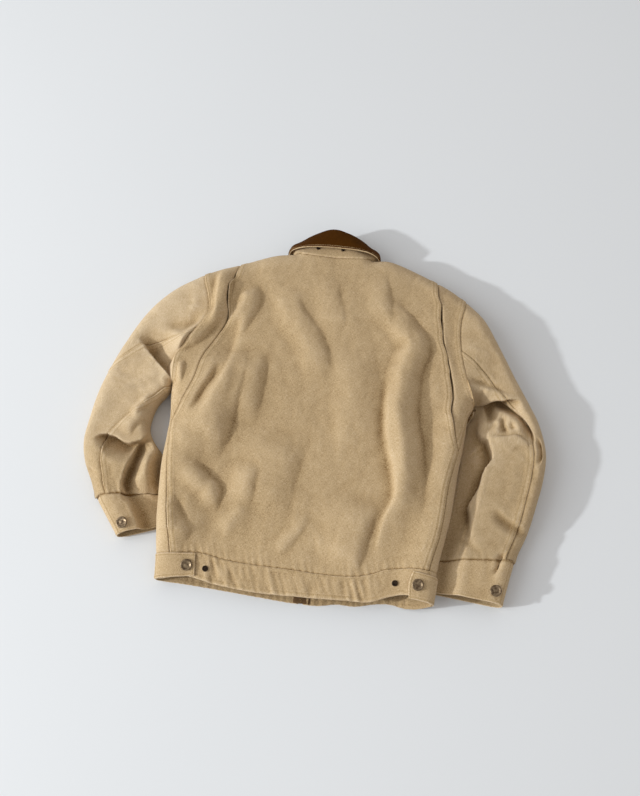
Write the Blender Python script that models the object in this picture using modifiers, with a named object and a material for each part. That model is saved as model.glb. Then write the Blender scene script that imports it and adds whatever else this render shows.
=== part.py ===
"""A canvas work jacket with a corduroy collar, laid face down with its back up.

Sizes are in millimetres in the jacket's own plan: +X to the wearer's right, +Y to the
collar, +Z up from the surface that the front lies on.  Every cloth piece is a wall of one
thickness.  Its outer points come from one of three shared surfaces (torso, left sleeve,
right sleeve), so that two pieces that are sewn together share the points of their seam.
"""
import math

import bmesh
import bpy
import numpy as np
from mathutils import Matrix, Vector

MM = 0.001
JACKET = "work_jacket"
MIDDLE = (2.0, -15.5)

# Cloth walls and the gap left at every seam.
CANVAS = 2.5
TAB = 2.5
CORDUROY = 3.5
TAPE = 1.0
SEAM_GAP = 0.36
TRIM = SEAM_GAP / 2

# How full the rounded edges are, and how far in they reach.
ROUND = 2.4
TORSO_ROLL = 34.0
SLEEVE_ROLL = 30.0

# A sleeve that is tucked under the body is pressed to this height.
TUCKED = 13.0
TUCKED_ROLL = 9.0
TUCK_CLEAR = 2.0
TUCK_FADE = 26.0
FRONT_ROLL = 28.0

# Rows and columns of the cloth grids.
SEAM_ROWS = 15
UNDERARM_ROWS = 4
CAP_COLUMNS = 7
ELBOW_COLUMNS = 8
UNDER_COLUMNS = 11
SLEEVE_ROWS = 20
CUFF_ROWS = 2
SHOULDER_COLUMNS = 5
NECK_BACK = 10
NECK_FRONT = 4
ROLL_COLUMNS = 5
SIDE_BACK_COLUMNS = 5
BAND_ROWS = 3
LAST_STATION = 10.0
CUFF_STATION = 11.0

# Zip, buttons and studs.
ZIP_HALF = 5.0
TAPE_HALF = 14.0
TAPE_SPLIT = 0.8
BUTTON_RADIUS = 10.0
BUTTON_HEIGHT = 3.6
POST_RADIUS = 5.2
POST_HEIGHT = 1.6
SNAP_RADIUS = 3.6
SNAP_HEIGHT = 1.5
SEAT = 0.3
TAB_SEAT = 0.9
TAPE_SEAT = 0.4
SLIDER_Y = 196.0
PULL_LENGTH = 24.0


class Table:
    """Rows of sizes with named columns; the first column is the key and rises."""

    def __init__(self, columns, rows):
        values = np.array(rows, float).T
        self.columns = dict(zip(columns.split(), values))
        self.keys = values[0]

    def at(self, column, key):
        return smooth(self.keys, self.columns[column], key)


def smooth(keys, values, at):
    """Cubic curve through a table's values."""
    slopes = np.gradient(values, keys)
    at = np.clip(np.asarray(at, float), keys[0], keys[-1])
    row = np.clip(np.searchsorted(keys, at) - 1, 0, len(keys) - 2)
    step = keys[row + 1] - keys[row]
    s = (at - keys[row]) / step
    start = values[row] * (1 + 2 * s) * (1 - s) ** 2 + slopes[row] * step * s * (1 - s) ** 2
    end = values[row + 1] * s * s * (3 - 2 * s) + slopes[row + 1] * step * s * s * (s - 1)
    return start + end


def resample(path, shares):
    """Points at the given shares of a path's length."""
    path = np.asarray(path, float)
    run = np.concatenate([[0.0], np.cumsum(np.linalg.norm(np.diff(path, axis=0), axis=1))])
    return np.stack([np.interp(shares, run / run[-1], column) for column in path.T], -1)


def spline(points, shares):
    """Points at the given shares of the smooth curve through a few points."""
    points = np.asarray(points, float)
    run = np.concatenate([[0.0], np.cumsum(np.linalg.norm(np.diff(points, axis=0), axis=1))])
    fine = np.linspace(0.0, run[-1], 240)
    return resample(np.stack([smooth(run, column, fine) for column in points.T], -1), shares)


def ease(value):
    """Smooth step from 0 at 0 to 1 at 1."""
    s = np.clip(value, 0.0, 1.0)
    return s * s * (3 - 2 * s)


def even(count):
    return np.linspace(0.0, 1.0, count + 1)


def eased(count):
    """Shares that crowd together at both ends."""
    return (1 - np.cos(np.pi * even(count))) / 2


def unit(vectors):
    return vectors / np.maximum(np.linalg.norm(vectors, axis=-1, keepdims=True), 1e-9)


def nearest(plan, line):
    """Signed distance to a line, and the share of it that is nearest.

    The distance is positive to the left of the line, and beyond its ends.
    """
    start = line[:-1]
    span = np.diff(line, axis=0)
    offset = plan[..., None, :] - start
    share = np.clip((offset * span).sum(-1) / (span * span).sum(-1), 0.0, 1.0)
    gap = offset - share[..., None] * span
    distance = np.linalg.norm(gap, axis=-1)
    best = np.argmin(distance, axis=-1)[..., None]
    turn = span[:, 0] * offset[..., 1] - span[:, 1] * offset[..., 0]
    along = (np.arange(len(span)) + share) / len(span)
    turn, distance, along = (
        np.take_along_axis(values, best, -1)[..., 0] for values in (turn, distance, along)
    )
    beyond = (along <= 0.0) | (along >= 1.0)
    return np.where((turn < 0) & ~beyond, -distance, distance), along


# ---------------------------------------------------------------- sizes of the body

LEFT_SIDE = Table("y rail seam", [
    (-385, -239.0, 27.0), (-339, -243.0, 27.0), (-301, -249.0, 25.5), (-250, -255.5, 21.0),
    (-206, -260.0, 17.0), (-165, -263.0, 13.5), (-119, -262.5, 8.0), (-92, -263.5, 6.5),
    (-51, -268.0, 1.5), (-12, -272.0, 0.0),
])
RIGHT_SIDE = Table("y rail seam", [
    (-385, 232.0, 18.0), (-339, 237.0, 17.0), (-300, 239.5, 15.0), (-250, 247.5, 12.0),
    (-206, 254.5, 14.0), (-165, 258.0, 15.0), (-119, 261.5, 11.0), (-92, 265.0, 9.0),
    (-51, 269.0, 5.0), (-15, 272.0, 2.0), (8, 281.0, 0.0),
])
BODY = Table("y crown equator", [
    (-385, 27, 14), (-372, 29, 14), (-330, 38, 17), (-300, 46, 20), (-250, 54, 22),
    (-180, 58, 22), (-80, 60, 22), (0, 60, 22), (100, 58, 22), (200, 54, 22), (260, 50, 23),
    (300, 47, 24),
])
CENTRE_FRONT = Table("y x", [(-385, 14), (-200, 10), (0, 5), (212, -5), (300, -8)])
BACK_SEAM = Table("x y", [
    (-260, -334), (-231, -333), (-171, -323), (-127, -329), (3, -333), (51, -334),
    (101, -331), (128, -324), (150, -315), (179, -310), (260, -312),
])
BACK_HEM = Table("x y", [
    (-260, -372), (-237, -371), (-188, -362), (-142, -369), (-98, -374), (12, -374),
    (85, -371), (133, -368), (158, -358), (180, -352), (201, -352), (217, -356), (260, -364),
])
FRONT_HEM = Table("x y", [
    (-260, -369), (-237, -369), (-184, -370), (-125, -373), (-58, -377), (9, -380),
    (44, -379), (73, -373), (103, -373), (143, -364), (165, -362), (192, -367), (222, -366),
    (260, -358),
])
LEFT_ARMHOLE = [
    (-250, 224), (-242, 196), (-233, 172), (-227, 132), (-235, 107), (-245, 86), (-258, 62),
    (-272, 35), (-273, 12), (-272, -12),
]
RIGHT_ARMHOLE = [
    (252, 226), (248, 198), (244, 172), (244, 143), (248, 111), (254, 82), (261, 57),
    (271, 32), (281, 8),
]
LEFT_SHOULDER = [(-84, 288), (-112, 283), (-150, 270), (-189, 253), (-222, 239), (-250, 224)]
RIGHT_SHOULDER = [(68, 291), (97, 295), (128, 288), (180, 267), (221, 247), (252, 226)]
BACK_NECK = [(-84, 288), (-60, 284.5), (-30, 283), (-5, 283), (30, 285), (68, 291)]
LEFT_FRONT_NECK = [(-84, 288), (-79, 268), (-60, 238), (-35, 219), (-10, 212)]
RIGHT_FRONT_NECK = [(68, 291), (63, 268), (47, 238), (23, 219), (0, 212)]
PLEAT_END = -92.0
LEFT_PLEAT = [
    (-257, -92), (-249, -69), (-241, -43), (-229, -8), (-222, 34), (-198, 92), (-187, 120),
    (-188, 150), (-189, 189), (-186, 228), (-183, 256),
]
RIGHT_PLEAT = [
    (256, -92), (250, -72), (243, -42), (233, -3), (229, 34), (216, 93), (206, 128),
    (201, 167), (197, 215), (194, 261),
]
LEFT_ELBOW_SHARE = 0.55
RIGHT_ELBOW_SHARE = 0.52
PLEAT_LAP = 6.0
PLEAT_LIFT = CANVAS + 1.2
PLEAT_SHARES = {"left": (0.55, 0.97), "right": (0.08, 0.97)}

# Where the front is raised over what lies below it: height, full reach, fade reach, route.
RAISED = [
    (14.5, 32.0, 80.0, [(-262, -150), (-248, -215), (-232, -275)]),
    (14.5, 24.0, 72.0, [(272, -48), (264, -110), (254, -200), (232, -332)]),
    (6.0, 46.0, 96.0, [(-72, 250), (-42, 215), (-5, 192), (30, 215), (58, 250)]),
]

# The back's largest folds: height of the ridge (or depth of the trough), half width, route.
BACK_FOLDS = [
    (4.0, 46.0, [(232, 30), (234, -110), (222, -270)]),
    (6.0, 20.0, [(108, 60), (122, -5), (140, -115), (150, -178), (138, -228), (130, -313)]),
    (-11.0, 20.0, [(150, 190), (188, 126), (184, 60), (183, -20), (200, -110), (204, -191),
                   (180, -285)]),
    (-5.5, 17.0, [(-60, 225), (-47, 169), (-21, 142), (2, 103), (16, 65), (16, 20)]),
    (-5.0, 13.0, [(-137, 205), (-134, 180), (-143, 138), (-156, 100)]),
    (5.0, 17.0, [(-150, 125), (-191, 25), (-230, -70)]),
    (-6.0, 18.0, [(-139, 95), (-144, 17), (-144, -79), (-150, -118), (-172, -178)]),
    (-4.5, 15.0, [(-204, -150), (-172, -182), (-149, -210), (-150, -262)]),
    (-7.0, 14.0, [(-224, -222), (-206, -252), (-190, -285), (-197, -328)]),
    (-4.5, 18.0, [(-80, -150), (-92, -209), (-102, -240), (-126, -282)]),
    (-3.0, 14.0, [(-40, -160), (-38, -250)]),
    (-5.0, 12.0, [(116, -248), (107, -283), (102, -335)]),
    (-4.0, 14.0, [(16, -248), (-7, -279), (-36, -310)]),
    (-4.0, 13.0, [(113, 262), (108, 223), (99, 182)]),
    (-3.0, 16.0, [(4, 240), (33, 140)]),
]

# ---------------------------------------------------------------- sizes of the sleeves

SLEEVE_COLUMNS = "station out_x out_y in_x in_y crown equator tuck"
LEFT_SLEEVE = Table(SLEEVE_COLUMNS, [
    (0, -250, 224, -272, -12, 54, 22, 0), (1, -302, 184, -275, -23, 52, 21, 0),
    (2, -346, 128, -281, -33, 50, 21, 0), (3, -375, 62, -288, -43, 48, 20, 0),
    (4, -392, 12, -294, -56, 46, 20, 0), (5, -405, -41, -298, -76, 45, 20, 0),
    (6, -411, -100, -298, -100, 46, 20, 0), (7, -412, -140, -287, -123, 45, 20, 0.6),
    (8, -402, -177, -262, -149, 44, 19, 1), (9, -385, -209, -238, -178, 42, 18, 1),
    (10, -369, -239, -225, -207, 38, 16, 1), (11, -321, -303, -205, -258, 31, 14, 1),
])
RIGHT_SLEEVE = Table(SLEEVE_COLUMNS, [
    (0, 252, 226, 281, 8, 56, 22, 0), (1, 290, 190, 285, -5, 56, 22, 0),
    (2, 325, 130, 283, -19, 55, 22, 0), (3, 352, 80, 275, -36, 54, 22, 0.3),
    (4, 380, 30, 269, -55, 55, 22, 0.8), (5, 403, -14, 266, -77, 50, 21, 1),
    (6, 416, -62, 262, -102, 47, 20, 1), (7, 414, -110, 257, -134, 45, 20, 1),
    (8, 404, -160, 250, -170, 44, 19, 1), (9, 391, -214, 243, -214, 42, 18, 1),
    (10, 371, -270, 235, -279, 38, 16, 1), (11, 355, -346, 226, -334, 31, 14, 1),
])

# Sleeve seams, as the share across the sleeve from its outer edge (0) to its inner edge (1).
# A negative share is on the underside, past the outer edge.
LEFT_SEAMS = Table("station back under", [
    (0, 0.55, 1.0), (1, 0.50, 0.985), (2, 0.36, 0.96), (3, 0.20, 0.94), (4, 0.03, 0.90),
    (5, -0.08, 0.78), (6, -0.14, 0.54), (7, -0.16, 0.34), (8, -0.16, 0.22), (9, -0.16, 0.16),
    (10, -0.16, 0.13), (11, -0.16, 0.13),
])
RIGHT_SEAMS = Table("station back under", [
    (0, 0.52, 1.0), (1, 0.49, 1.0), (2, 0.42, 1.0), (3, 0.36, 1.0), (4, 0.25, 1.0),
    (5, 0.19, 1.0), (6, 0.17, 1.0), (7, 0.16, 1.0), (8, 0.15, 1.0), (9, 0.14, 1.0),
    (10, 0.14, 1.0), (11, 0.14, 1.0),
])
LEFT_FOLDS = [
    (-9.0, 17.0, [(-362, 62), (-322, 44), (-298, 18), (-282, -18)]),
    (-6.0, 18.0, [(-386, -116), (-348, -140), (-306, -146)]),
    (-9.0, 17.0, [(-304, -122), (-318, -165), (-322, -208), (-306, -246)]),
    (3.0, 16.0, [(-330, -124), (-352, -166), (-366, -210)]),
]
RIGHT_FOLDS = [
    (-12.0, 20.0, [(262, -12), (306, 6), (372, 4)]),
    (3.0, 22.0, [(268, 40), (312, 54), (364, 44)]),
    (-4.0, 18.0, [(396, -44), (401, -84), (394, -134)]),
    (3.0, 24.0, [(350, -70), (350, -150), (330, -240)]),
]
PLACKET_SHARE = 0.05
PLACKET_LAP = 14.0
LAP_LIFT = CANVAS + 0.8

# The collar, at stations round the neck: 0 and 18 at the zip, 4 and 14 at the shoulders.
# The leaf's edge is given up the stand from the neck seam, and out from the stand.
COLLAR = Table("station crest_x crest_y crest_z gap leaf_up leaf_out", [
    (0, -9, 246, 6.0, 1.9, -7, 1.9), (1, -27, 250, 6.0, 1.9, -7, 1.9),
    (2, -48, 262, 6.0, 1.9, -4, 1.9), (3, -73, 289, 11, 3.2, 6, 3.6),
    (4, -89, 298, 27, 3.2, 9, 7.0), (5, -76, 312, 33, 3.2, 10, 6.5),
    (6, -58, 325, 37, 3.2, 13, 6.0), (7, -42, 334, 40, 3.2, 16, 5.5),
    (8, -25, 342, 42, 3.2, 18, 5.0), (9, -8, 344, 43, 3.2, 19, 5.0),
    (10, 10, 340, 42, 3.2, 18, 5.0), (11, 27, 334, 41, 3.2, 17, 5.0),
    (12, 44, 326, 37, 3.2, 15, 5.5), (13, 60, 315, 33, 3.2, 12, 6.5),
    (14, 74, 300, 28, 3.2, 9, 7.0), (15, 58, 287, 12, 3.2, 6, 3.6),
    (16, 33, 262, 6.0, 1.9, -4, 1.9), (17, 14, 250, 6.0, 1.9, -7, 1.9),
    (18, -1, 246, 6.0, 1.9, -7, 1.9),
])
CORNER_CLEAR = 3.8
STAND_COLUMNS = 3
CREST_COLUMNS = 3
LEAF_COLUMNS = 4
LEAF_ARCH = 2.0

# The band's gathers: x of the first and last, and how many waves between them.
GATHERS = (-150.0, 140.0, 20)
GATHER_HEIGHT = 1.2
GATHER_STEPS = 3


# ---------------------------------------------------------------- surfaces

def fold_relief(plan, folds):
    """Height that the folds add to the crown of a piece."""
    relief = np.zeros(plan.shape[:-1])
    for height, width, route in folds:
        distance, share = nearest(plan, spline(route, even(18)))
        ends = np.sin(np.pi * np.clip(share, 0.0, 1.0)) ** 0.7
        relief += height * ends * np.exp(-((distance / width) ** 2))
    return relief


def side_line(side, start, end, steps=36):
    y = np.linspace(start, end, steps)
    return np.stack([side.at("rail", y), y], -1)


class Pillow:
    """A flattened tube of cloth with rounded closed edges.

    edges are plan lines with the cloth on their left.  Each kind of pillow says how high
    its upper wall stands, how high its edges are and how far it is raised.
    """

    def __init__(self, edges):
        self.edges = edges

    def inside(self, plan):
        return np.min([nearest(plan, edge)[0] for edge in self.edges], axis=0)

    def slope(self, plan, step=0.4):
        along_x = self.inside(plan + (step, 0)) - self.inside(plan - (step, 0))
        along_y = self.inside(plan + (0, step)) - self.inside(plan - (0, step))
        return np.stack([along_x, along_y], -1) / (2 * step)

    def surface(self, plan, upper, *where):
        """Outer points over plan places, on the upper wall or the under wall."""
        crown, equator, floor, roll = self.levels(plan, *where)
        share = np.clip(self.inside(plan) / roll, 0.0, 1.0)
        full = (1 - (1 - share) ** ROUND) ** (1 / ROUND)
        height = np.where(upper, equator + (crown - equator) * full,
                          equator - (equator - floor) * full)
        return np.concatenate([plan, height[..., None]], -1)

    def normals(self, points, *where):
        """Outward directions at outer points."""
        plan = points[..., :2]
        crown, equator, floor, roll = self.levels(plan, *where)
        rise = points[..., 2] - equator
        reach = np.where(rise >= 0, crown - equator, equator - floor)
        share = np.clip(self.inside(plan) / roll, 0.0, 1.0)
        out = -self.slope(plan) * ((1 - share) ** (ROUND - 1) / roll)[..., None]
        full = np.clip(np.abs(rise) / reach, 0.0, 1.0)
        up = np.sign(rise) * full ** (ROUND - 1) / reach
        return unit(np.concatenate([out, up[..., None]], -1))


class Torso(Pillow):
    """Front and back of the body, from shoulders to hem."""

    def levels(self, plan):
        y = plan[..., 1]
        raised = self.raised(plan)
        crown = BODY.at("crown", y) + 0.7 * raised + fold_relief(plan, BACK_FOLDS)
        equator = BODY.at("equator", y) + 0.85 * raised
        return crown, equator, raised, np.full(y.shape, TORSO_ROLL)

    def raised(self, plan):
        heights = []
        for height, full, fade, route in RAISED:
            distance = np.abs(nearest(plan, spline(route, even(12)))[0])
            heights.append(height * ease((fade - distance) / (fade - full)))
        return np.max(heights, axis=0)


class Sleeve(Pillow):
    """One sleeve, from the armhole to the cuff's lower edge."""

    def __init__(self, edges, torso, body_side, table, armhole, folds):
        super().__init__(edges)
        self.torso = torso
        self.body_side = body_side
        self.table = table
        self.armhole = armhole
        self.folds = folds

    def plan(self, station, across):
        """Plan places at a station, a share of the way from the outer to the inner edge."""
        outer = np.stack([self.table.at("out_x", station), self.table.at("out_y", station)], -1)
        inner = np.stack([self.table.at("in_x", station), self.table.at("in_y", station)], -1)
        straight = outer + (inner - outer) * across[..., None]
        seam = spline(self.armhole, even(120))
        share = across * 120
        curve = np.stack([np.interp(share, np.arange(121), column) for column in seam.T], -1)
        chord = seam[0] + (seam[-1] - seam[0]) * across[..., None]
        return straight + (curve - chord) * (1 - ease(station / 3.0))[..., None]

    def levels(self, plan, station):
        near = 1 - ease(station / 2.5)
        body = self.torso.levels(plan)
        tuck = self.table.at("tuck", station)
        past = nearest(plan, self.body_side)[0]
        pressed = tuck * (1 - ease((-past - TUCK_CLEAR) / TUCK_FADE))
        crown = self.table.at("crown", station) + fold_relief(plan, self.folds)
        own = (crown, self.table.at("equator", station), 0.0 * station,
               SLEEVE_ROLL + 0.0 * station)
        flat = (TUCKED, TUCKED / 2, 0.0, TUCKED_ROLL)
        return tuple(near * b + (1 - near) * (o + (f - o) * pressed)
                     for b, o, f in zip(body, own, flat))

    def ring(self, station, turn):
        """Outer points; turn runs 0 to 1 over the top to the inner edge and back below."""
        turn = turn % 1.0
        across = (1 - np.cos(2 * np.pi * turn)) / 2
        plan = self.plan(station, across)
        points = self.surface(plan, turn <= 0.5, station)
        on_seam = (station <= 0.0)[..., None]
        return np.where(on_seam, self.torso.surface(plan, turn <= 0.5), points)

    def directions(self, points, station):
        """Outward directions, those of the body on the armhole seam."""
        on_seam = (station <= 0.0)[..., None]
        return np.where(on_seam, self.torso.normals(points), self.normals(points, station))


def turn_of(across):
    """Turn round a sleeve for a share across it, on the underside when outside 0 to 1."""
    across = np.asarray(across, float)
    top = np.arccos(1 - 2 * np.clip(across, 0.0, 1.0)) / (2 * np.pi)
    before = -np.arccos(1 - 2 * np.clip(-across, 0.0, 1.0)) / (2 * np.pi)
    after = 1 - np.arccos(1 - 2 * np.clip(2 - across, 0.0, 1.0)) / (2 * np.pi)
    return np.where(across < 0, before, np.where(across > 1, after, top))


def patch(bottom, top, left, right):
    """Plan grid between four boundary lines, a row for each point of left and right."""
    v = np.linspace(0, 1, len(left))[:, None, None]
    u = np.linspace(0, 1, len(bottom))[None, :, None]
    across = (1 - v) * bottom[None] + v * top[None]
    along = (1 - u) * left[:, None] + u * right[:, None]
    corners = ((1 - u) * (1 - v) * bottom[0] + u * (1 - v) * bottom[-1]
               + (1 - u) * v * top[0] + u * v * top[-1])
    return across + along - corners


# ---------------------------------------------------------------- Blender helpers

def material(name, colour, roughness, metallic=0.0):
    made = bpy.data.materials.new(name)
    made.use_nodes = True
    shader = made.node_tree.nodes["Principled BSDF"]
    shader.inputs["Base Color"].default_value = (*colour, 1.0)
    shader.inputs["Roughness"].default_value = roughness
    shader.inputs["Metallic"].default_value = metallic
    made.diffuse_color = (*colour, 1.0)
    return made


def place(points):
    """Jacket millimetres to the model's metres, about the middle of the jacket."""
    return (np.asarray(points, float) - (MIDDLE[0], MIDDLE[1], 0.0)) * MM


def add_object(name, mesh, finish, collection):
    mesh.materials.clear()
    mesh.materials.append(finish)
    made = bpy.data.objects.new(name, mesh)
    collection.objects.link(made)
    return made


def pull_in(grid, amount):
    """Draw a grid's border in along its own rows and columns, to leave the seam's gap."""
    grid = grid.copy()
    for axis in (0, 1):
        rows = np.moveaxis(grid, axis, 0)
        rows[0] += unit(rows[1] - rows[0]) * amount
        rows[-1] += unit(rows[-2] - rows[-1]) * amount
    return grid


def cloth(name, outer, normals, wall, finish, collection, trim=TRIM):
    """A wall of cloth: a grid extruded once, with the new points on the outer face."""
    rows, columns = outer.shape[:2]
    faces = (place(pull_in(outer - normals * wall, trim)), place(pull_in(outer, trim)))
    sheet = bmesh.new()
    bmesh.ops.create_grid(sheet, x_segments=columns - 1, y_segments=rows - 1, size=0.5)
    made = bmesh.ops.extrude_face_region(sheet, geom=sheet.faces[:])
    raised = {item for item in made["geom"] if isinstance(item, bmesh.types.BMVert)}
    for vert in sheet.verts:
        column = round((vert.co.x + 0.5) * (columns - 1))
        row = round((vert.co.y + 0.5) * (rows - 1))
        vert.co = Vector(faces[vert in raised][row, column])
    if sheet.calc_volume(signed=True) < 0:
        bmesh.ops.reverse_faces(sheet, faces=sheet.faces[:])
    mesh = bpy.data.meshes.new(name)
    sheet.to_mesh(mesh)
    sheet.free()
    mesh.shade_smooth()
    mesh.set_sharp_from_angle(angle=math.radians(50))
    return add_object(name, mesh, finish, collection)


def turned(name, profile, sides, point, normal, finish, collection):
    """A round fitting turned from a profile of (radius, height), seated on a surface."""
    mesh = bpy.data.meshes.new(name)
    points = [(radius * MM, 0.0, height * MM) for radius, height in profile]
    mesh.from_pydata(points, [(k, k + 1) for k in range(len(points) - 1)], [])
    made = add_object(name, mesh, finish, collection)
    screw = made.modifiers.new("turn", "SCREW")
    screw.steps = sides
    screw.render_steps = sides
    screw.axis = "Z"
    screw.use_merge_vertices = True
    screw.merge_threshold = 0.00001
    screw.use_smooth_shade = True
    made.rotation_euler = Vector(normal).to_track_quat("Z", "Y").to_euler()
    made.location = Vector(place(point))
    return made


def box(name, low, high):
    """A box between two corners, in jacket millimetres."""
    low, high = place(low), place(high)
    solid = bmesh.new()
    bmesh.ops.create_cube(solid, size=1.0)
    for vert in solid.verts:
        vert.co = Vector([low[k] if vert.co[k] < 0 else high[k] for k in range(3)])
    mesh = bpy.data.meshes.new(name)
    solid.to_mesh(mesh)
    solid.free()
    return mesh


def rod(name, centre, radius, length, sides=12):
    """A rod along X, in jacket millimetres."""
    solid = bmesh.new()
    bmesh.ops.create_cone(solid, cap_ends=True, segments=sides, radius1=radius * MM,
                          radius2=radius * MM, depth=length * MM)
    turn = Matrix.Rotation(math.radians(90), 4, "Y")
    bmesh.ops.transform(solid, matrix=Matrix.Translation(Vector(place(centre))) @ turn,
                        verts=solid.verts[:])
    mesh = bpy.data.meshes.new(name)
    solid.to_mesh(mesh)
    solid.free()
    return mesh


def combine(target, meshes, operation, finish, cutters):
    """Join or cut a piece with each mesh in turn."""
    for mesh in meshes:
        tool = add_object(mesh.name + "_tool", mesh, finish, cutters)
        tool.hide_render = True
        tool.display_type = "WIRE"
        step = target.modifiers.new(operation.lower(), "BOOLEAN")
        step.operation = operation
        step.object = tool


# ---------------------------------------------------------------- the pieces

class Side:
    """What differs between the wearer's left and right."""

    def __init__(self, word, way, torso, side, armhole, shoulder, pleat, neck, sleeve, seams,
                 share):
        self.word = word
        self.way = way
        self.side = side
        self.armhole = armhole
        self.pleat = pleat
        self.neck = neck
        self.shoulder = shoulder
        self.sleeve = sleeve
        self.seams = seams
        self.cap = eased(CAP_COLUMNS + ELBOW_COLUMNS)
        self.cap = self.split(share)

    def split(self, share):
        """Shares of the armhole from shoulder to underarm, with one at the back seam."""
        cut = turn_of(share) * 2
        first = np.linspace(0, cut, CAP_COLUMNS + 1)
        second = np.linspace(cut, 1, ELBOW_COLUMNS + 1)
        turns = np.concatenate([first, second[1:]]) / 2
        return (1 - np.cos(2 * np.pi * turns)) / 2

    def upper_armhole(self):
        """Armhole from the shoulder down to the underarm."""
        return spline_at(self.armhole, self.cap)

    def under_armhole(self):
        """Armhole from the underarm up to the shoulder, on the front."""
        return spline_at(self.armhole, 1 - eased(UNDER_COLUMNS))

    def seam_plan(self, y):
        rail = self.side.at("rail", y)
        return np.stack([rail - self.way * self.side.at("seam", y), y], -1)

    def band_y(self):
        x = self.seam_plan(np.array([-322.0]))[0, 0]
        return float(BACK_SEAM.at("y", x))

    def side_seam(self):
        """Side seam from the band up to the pleat's end."""
        return self.seam_plan(np.linspace(self.band_y(), PLEAT_END, SEAM_ROWS + 1))

    def underarm_seam(self):
        """Side seam from the pleat's end up to the underarm."""
        return self.seam_plan(np.linspace(PLEAT_END, self.armhole[-1][1], UNDERARM_ROWS + 1))


def spline_at(points, shares):
    """As Sleeve.plan reads the armhole: shares of a line of 120 even steps."""
    line = spline(points, even(120))
    return np.stack([np.interp(shares * 120, np.arange(121), column) for column in line.T], -1)


def back_panel(torso, left, right, finish, collection):
    """Centre back, which laps over the side backs along the two pleats."""
    rows = UNDERARM_ROWS + CAP_COLUMNS + ELBOW_COLUMNS
    borders = []
    for side in (left, right):
        pleat = spline(side.pleat, even(rows))
        borders.append(np.concatenate([side.side_seam(), pleat[1:]]))
    start, end = borders[0][0], borders[1][0]
    columns = 2 * SHOULDER_COLUMNS + NECK_BACK
    x = np.linspace(start[0], end[0], columns + 1)
    bottom = np.stack([x, BACK_SEAM.at("y", x)], -1)
    bottom[0], bottom[-1] = start, end
    top = np.concatenate([
        to_neck(left, borders[0][-1]), spline(BACK_NECK, even(NECK_BACK))[1:-1],
        to_neck(right, borders[1][-1])[::-1],
    ])
    plan = patch(bottom, top, *borders)
    plan, lift = lap_over(plan, rows)
    outer = torso.surface(plan, True)
    normals = torso.normals(outer)
    outer[..., 2] += lift
    normals[-1, SHOULDER_COLUMNS] = neck_corner(torso, left)
    normals[-1, SHOULDER_COLUMNS + NECK_BACK] = neck_corner(torso, right)
    cloth("back_panel", outer, normals, CANVAS, finish, collection)
    return outer[0]


def to_neck(side, start):
    """Shoulder line from a pleat's top to the neck."""
    line = spline(side.shoulder, even(160))
    near = line[np.argmin(np.linalg.norm(line - start, axis=1)):0:-1]
    path = np.concatenate([[start], near[2:], [side.shoulder[0]]])
    return resample(path, even(SHOULDER_COLUMNS))


def from_armhole(side, end):
    """Shoulder line from the armhole to a pleat's top."""
    line = spline(side.shoulder, even(160))[::-1]
    near = line[:np.argmin(np.linalg.norm(line - end, axis=1))]
    path = np.concatenate([[side.shoulder[-1]], near[1:-1], [end]])
    return resample(path, even(SIDE_BACK_COLUMNS))


def lap_over(plan, rows):
    """Move the centre back's pleat edges out over the side backs, and raise them."""
    plan = plan.copy()
    lift = np.zeros(plan.shape[:2])
    share = np.concatenate([np.zeros(SEAM_ROWS), even(rows)])
    for word, edge, way in (("left", 0, -1), ("right", -1, 1)):
        low, high = PLEAT_SHARES[word]
        lifted = ease((share - low) / 0.10) * ease((high - share) / 0.07)
        lapped = ease((share - low - 0.11) / 0.12) * ease((high - 0.075 - share) / 0.07)
        plan[:, edge, 0] += way * PLEAT_LAP * lapped
        order = [edge, edge - way, edge - 2 * way]
        for column, part in zip(order, (1.0, 0.75, 0.2)):
            lift[:, column] += PLEAT_LIFT * lifted * part
    return plan, lift


def side_back(torso, side, finish, collection):
    """Back piece between the pleat and the armhole, down to a point on the side seam."""
    armhole = side.upper_armhole()[::-1]
    outside = np.concatenate([side.underarm_seam(), armhole[1:]])
    rows = len(outside) - 1
    inside = spline(side.pleat, even(rows))
    top = from_armhole(side, inside[-1])
    bottom = np.linspace(outside[0], inside[0], SIDE_BACK_COLUMNS + 1)
    outer = torso.surface(patch(bottom, top, outside, inside), True)
    normals = torso.normals(outer)
    outer[0] += (outer[1] - outer[0]) * 0.3
    normals[0] = unit(normals[0] * 0.7 + normals[1] * 0.3)
    normals[UNDERARM_ROWS, 0] = underarm()
    return cloth("side_back_" + side.word, outer, normals, CANVAS, finish, collection,
                 trim=SEAM_GAP)


def rolled(torso, side, y, inset, hem=None, share=0.0):
    """Outer points from the side seam, round the edge, to the floor side."""
    top = np.linspace(inset, 0.0, 30)
    under = FRONT_ROLL * (1 - np.cos(np.linspace(0, np.pi / 2, 40)))
    depth = np.concatenate([top, under[1:]])
    upper = np.arange(len(depth)) < len(top)
    height = np.full(len(depth), float(y))
    rail = side.side.at("rail", height)
    x = rail - side.way * depth
    if hem is not None:
        edge = np.where(upper, BACK_HEM.at("y", x), FRONT_HEM.at("y", x))
        soft = ease(np.arange(len(depth)) / len(depth))
        edge = BACK_HEM.at("y", x) * (1 - soft) + FRONT_HEM.at("y", x) * soft
        height = height + (edge - height) * share
        x = side.side.at("rail", height) - side.way * depth
    plan = np.stack([x, height], -1)
    return resample(torso.surface(plan, upper), even(ROLL_COLUMNS))


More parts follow.
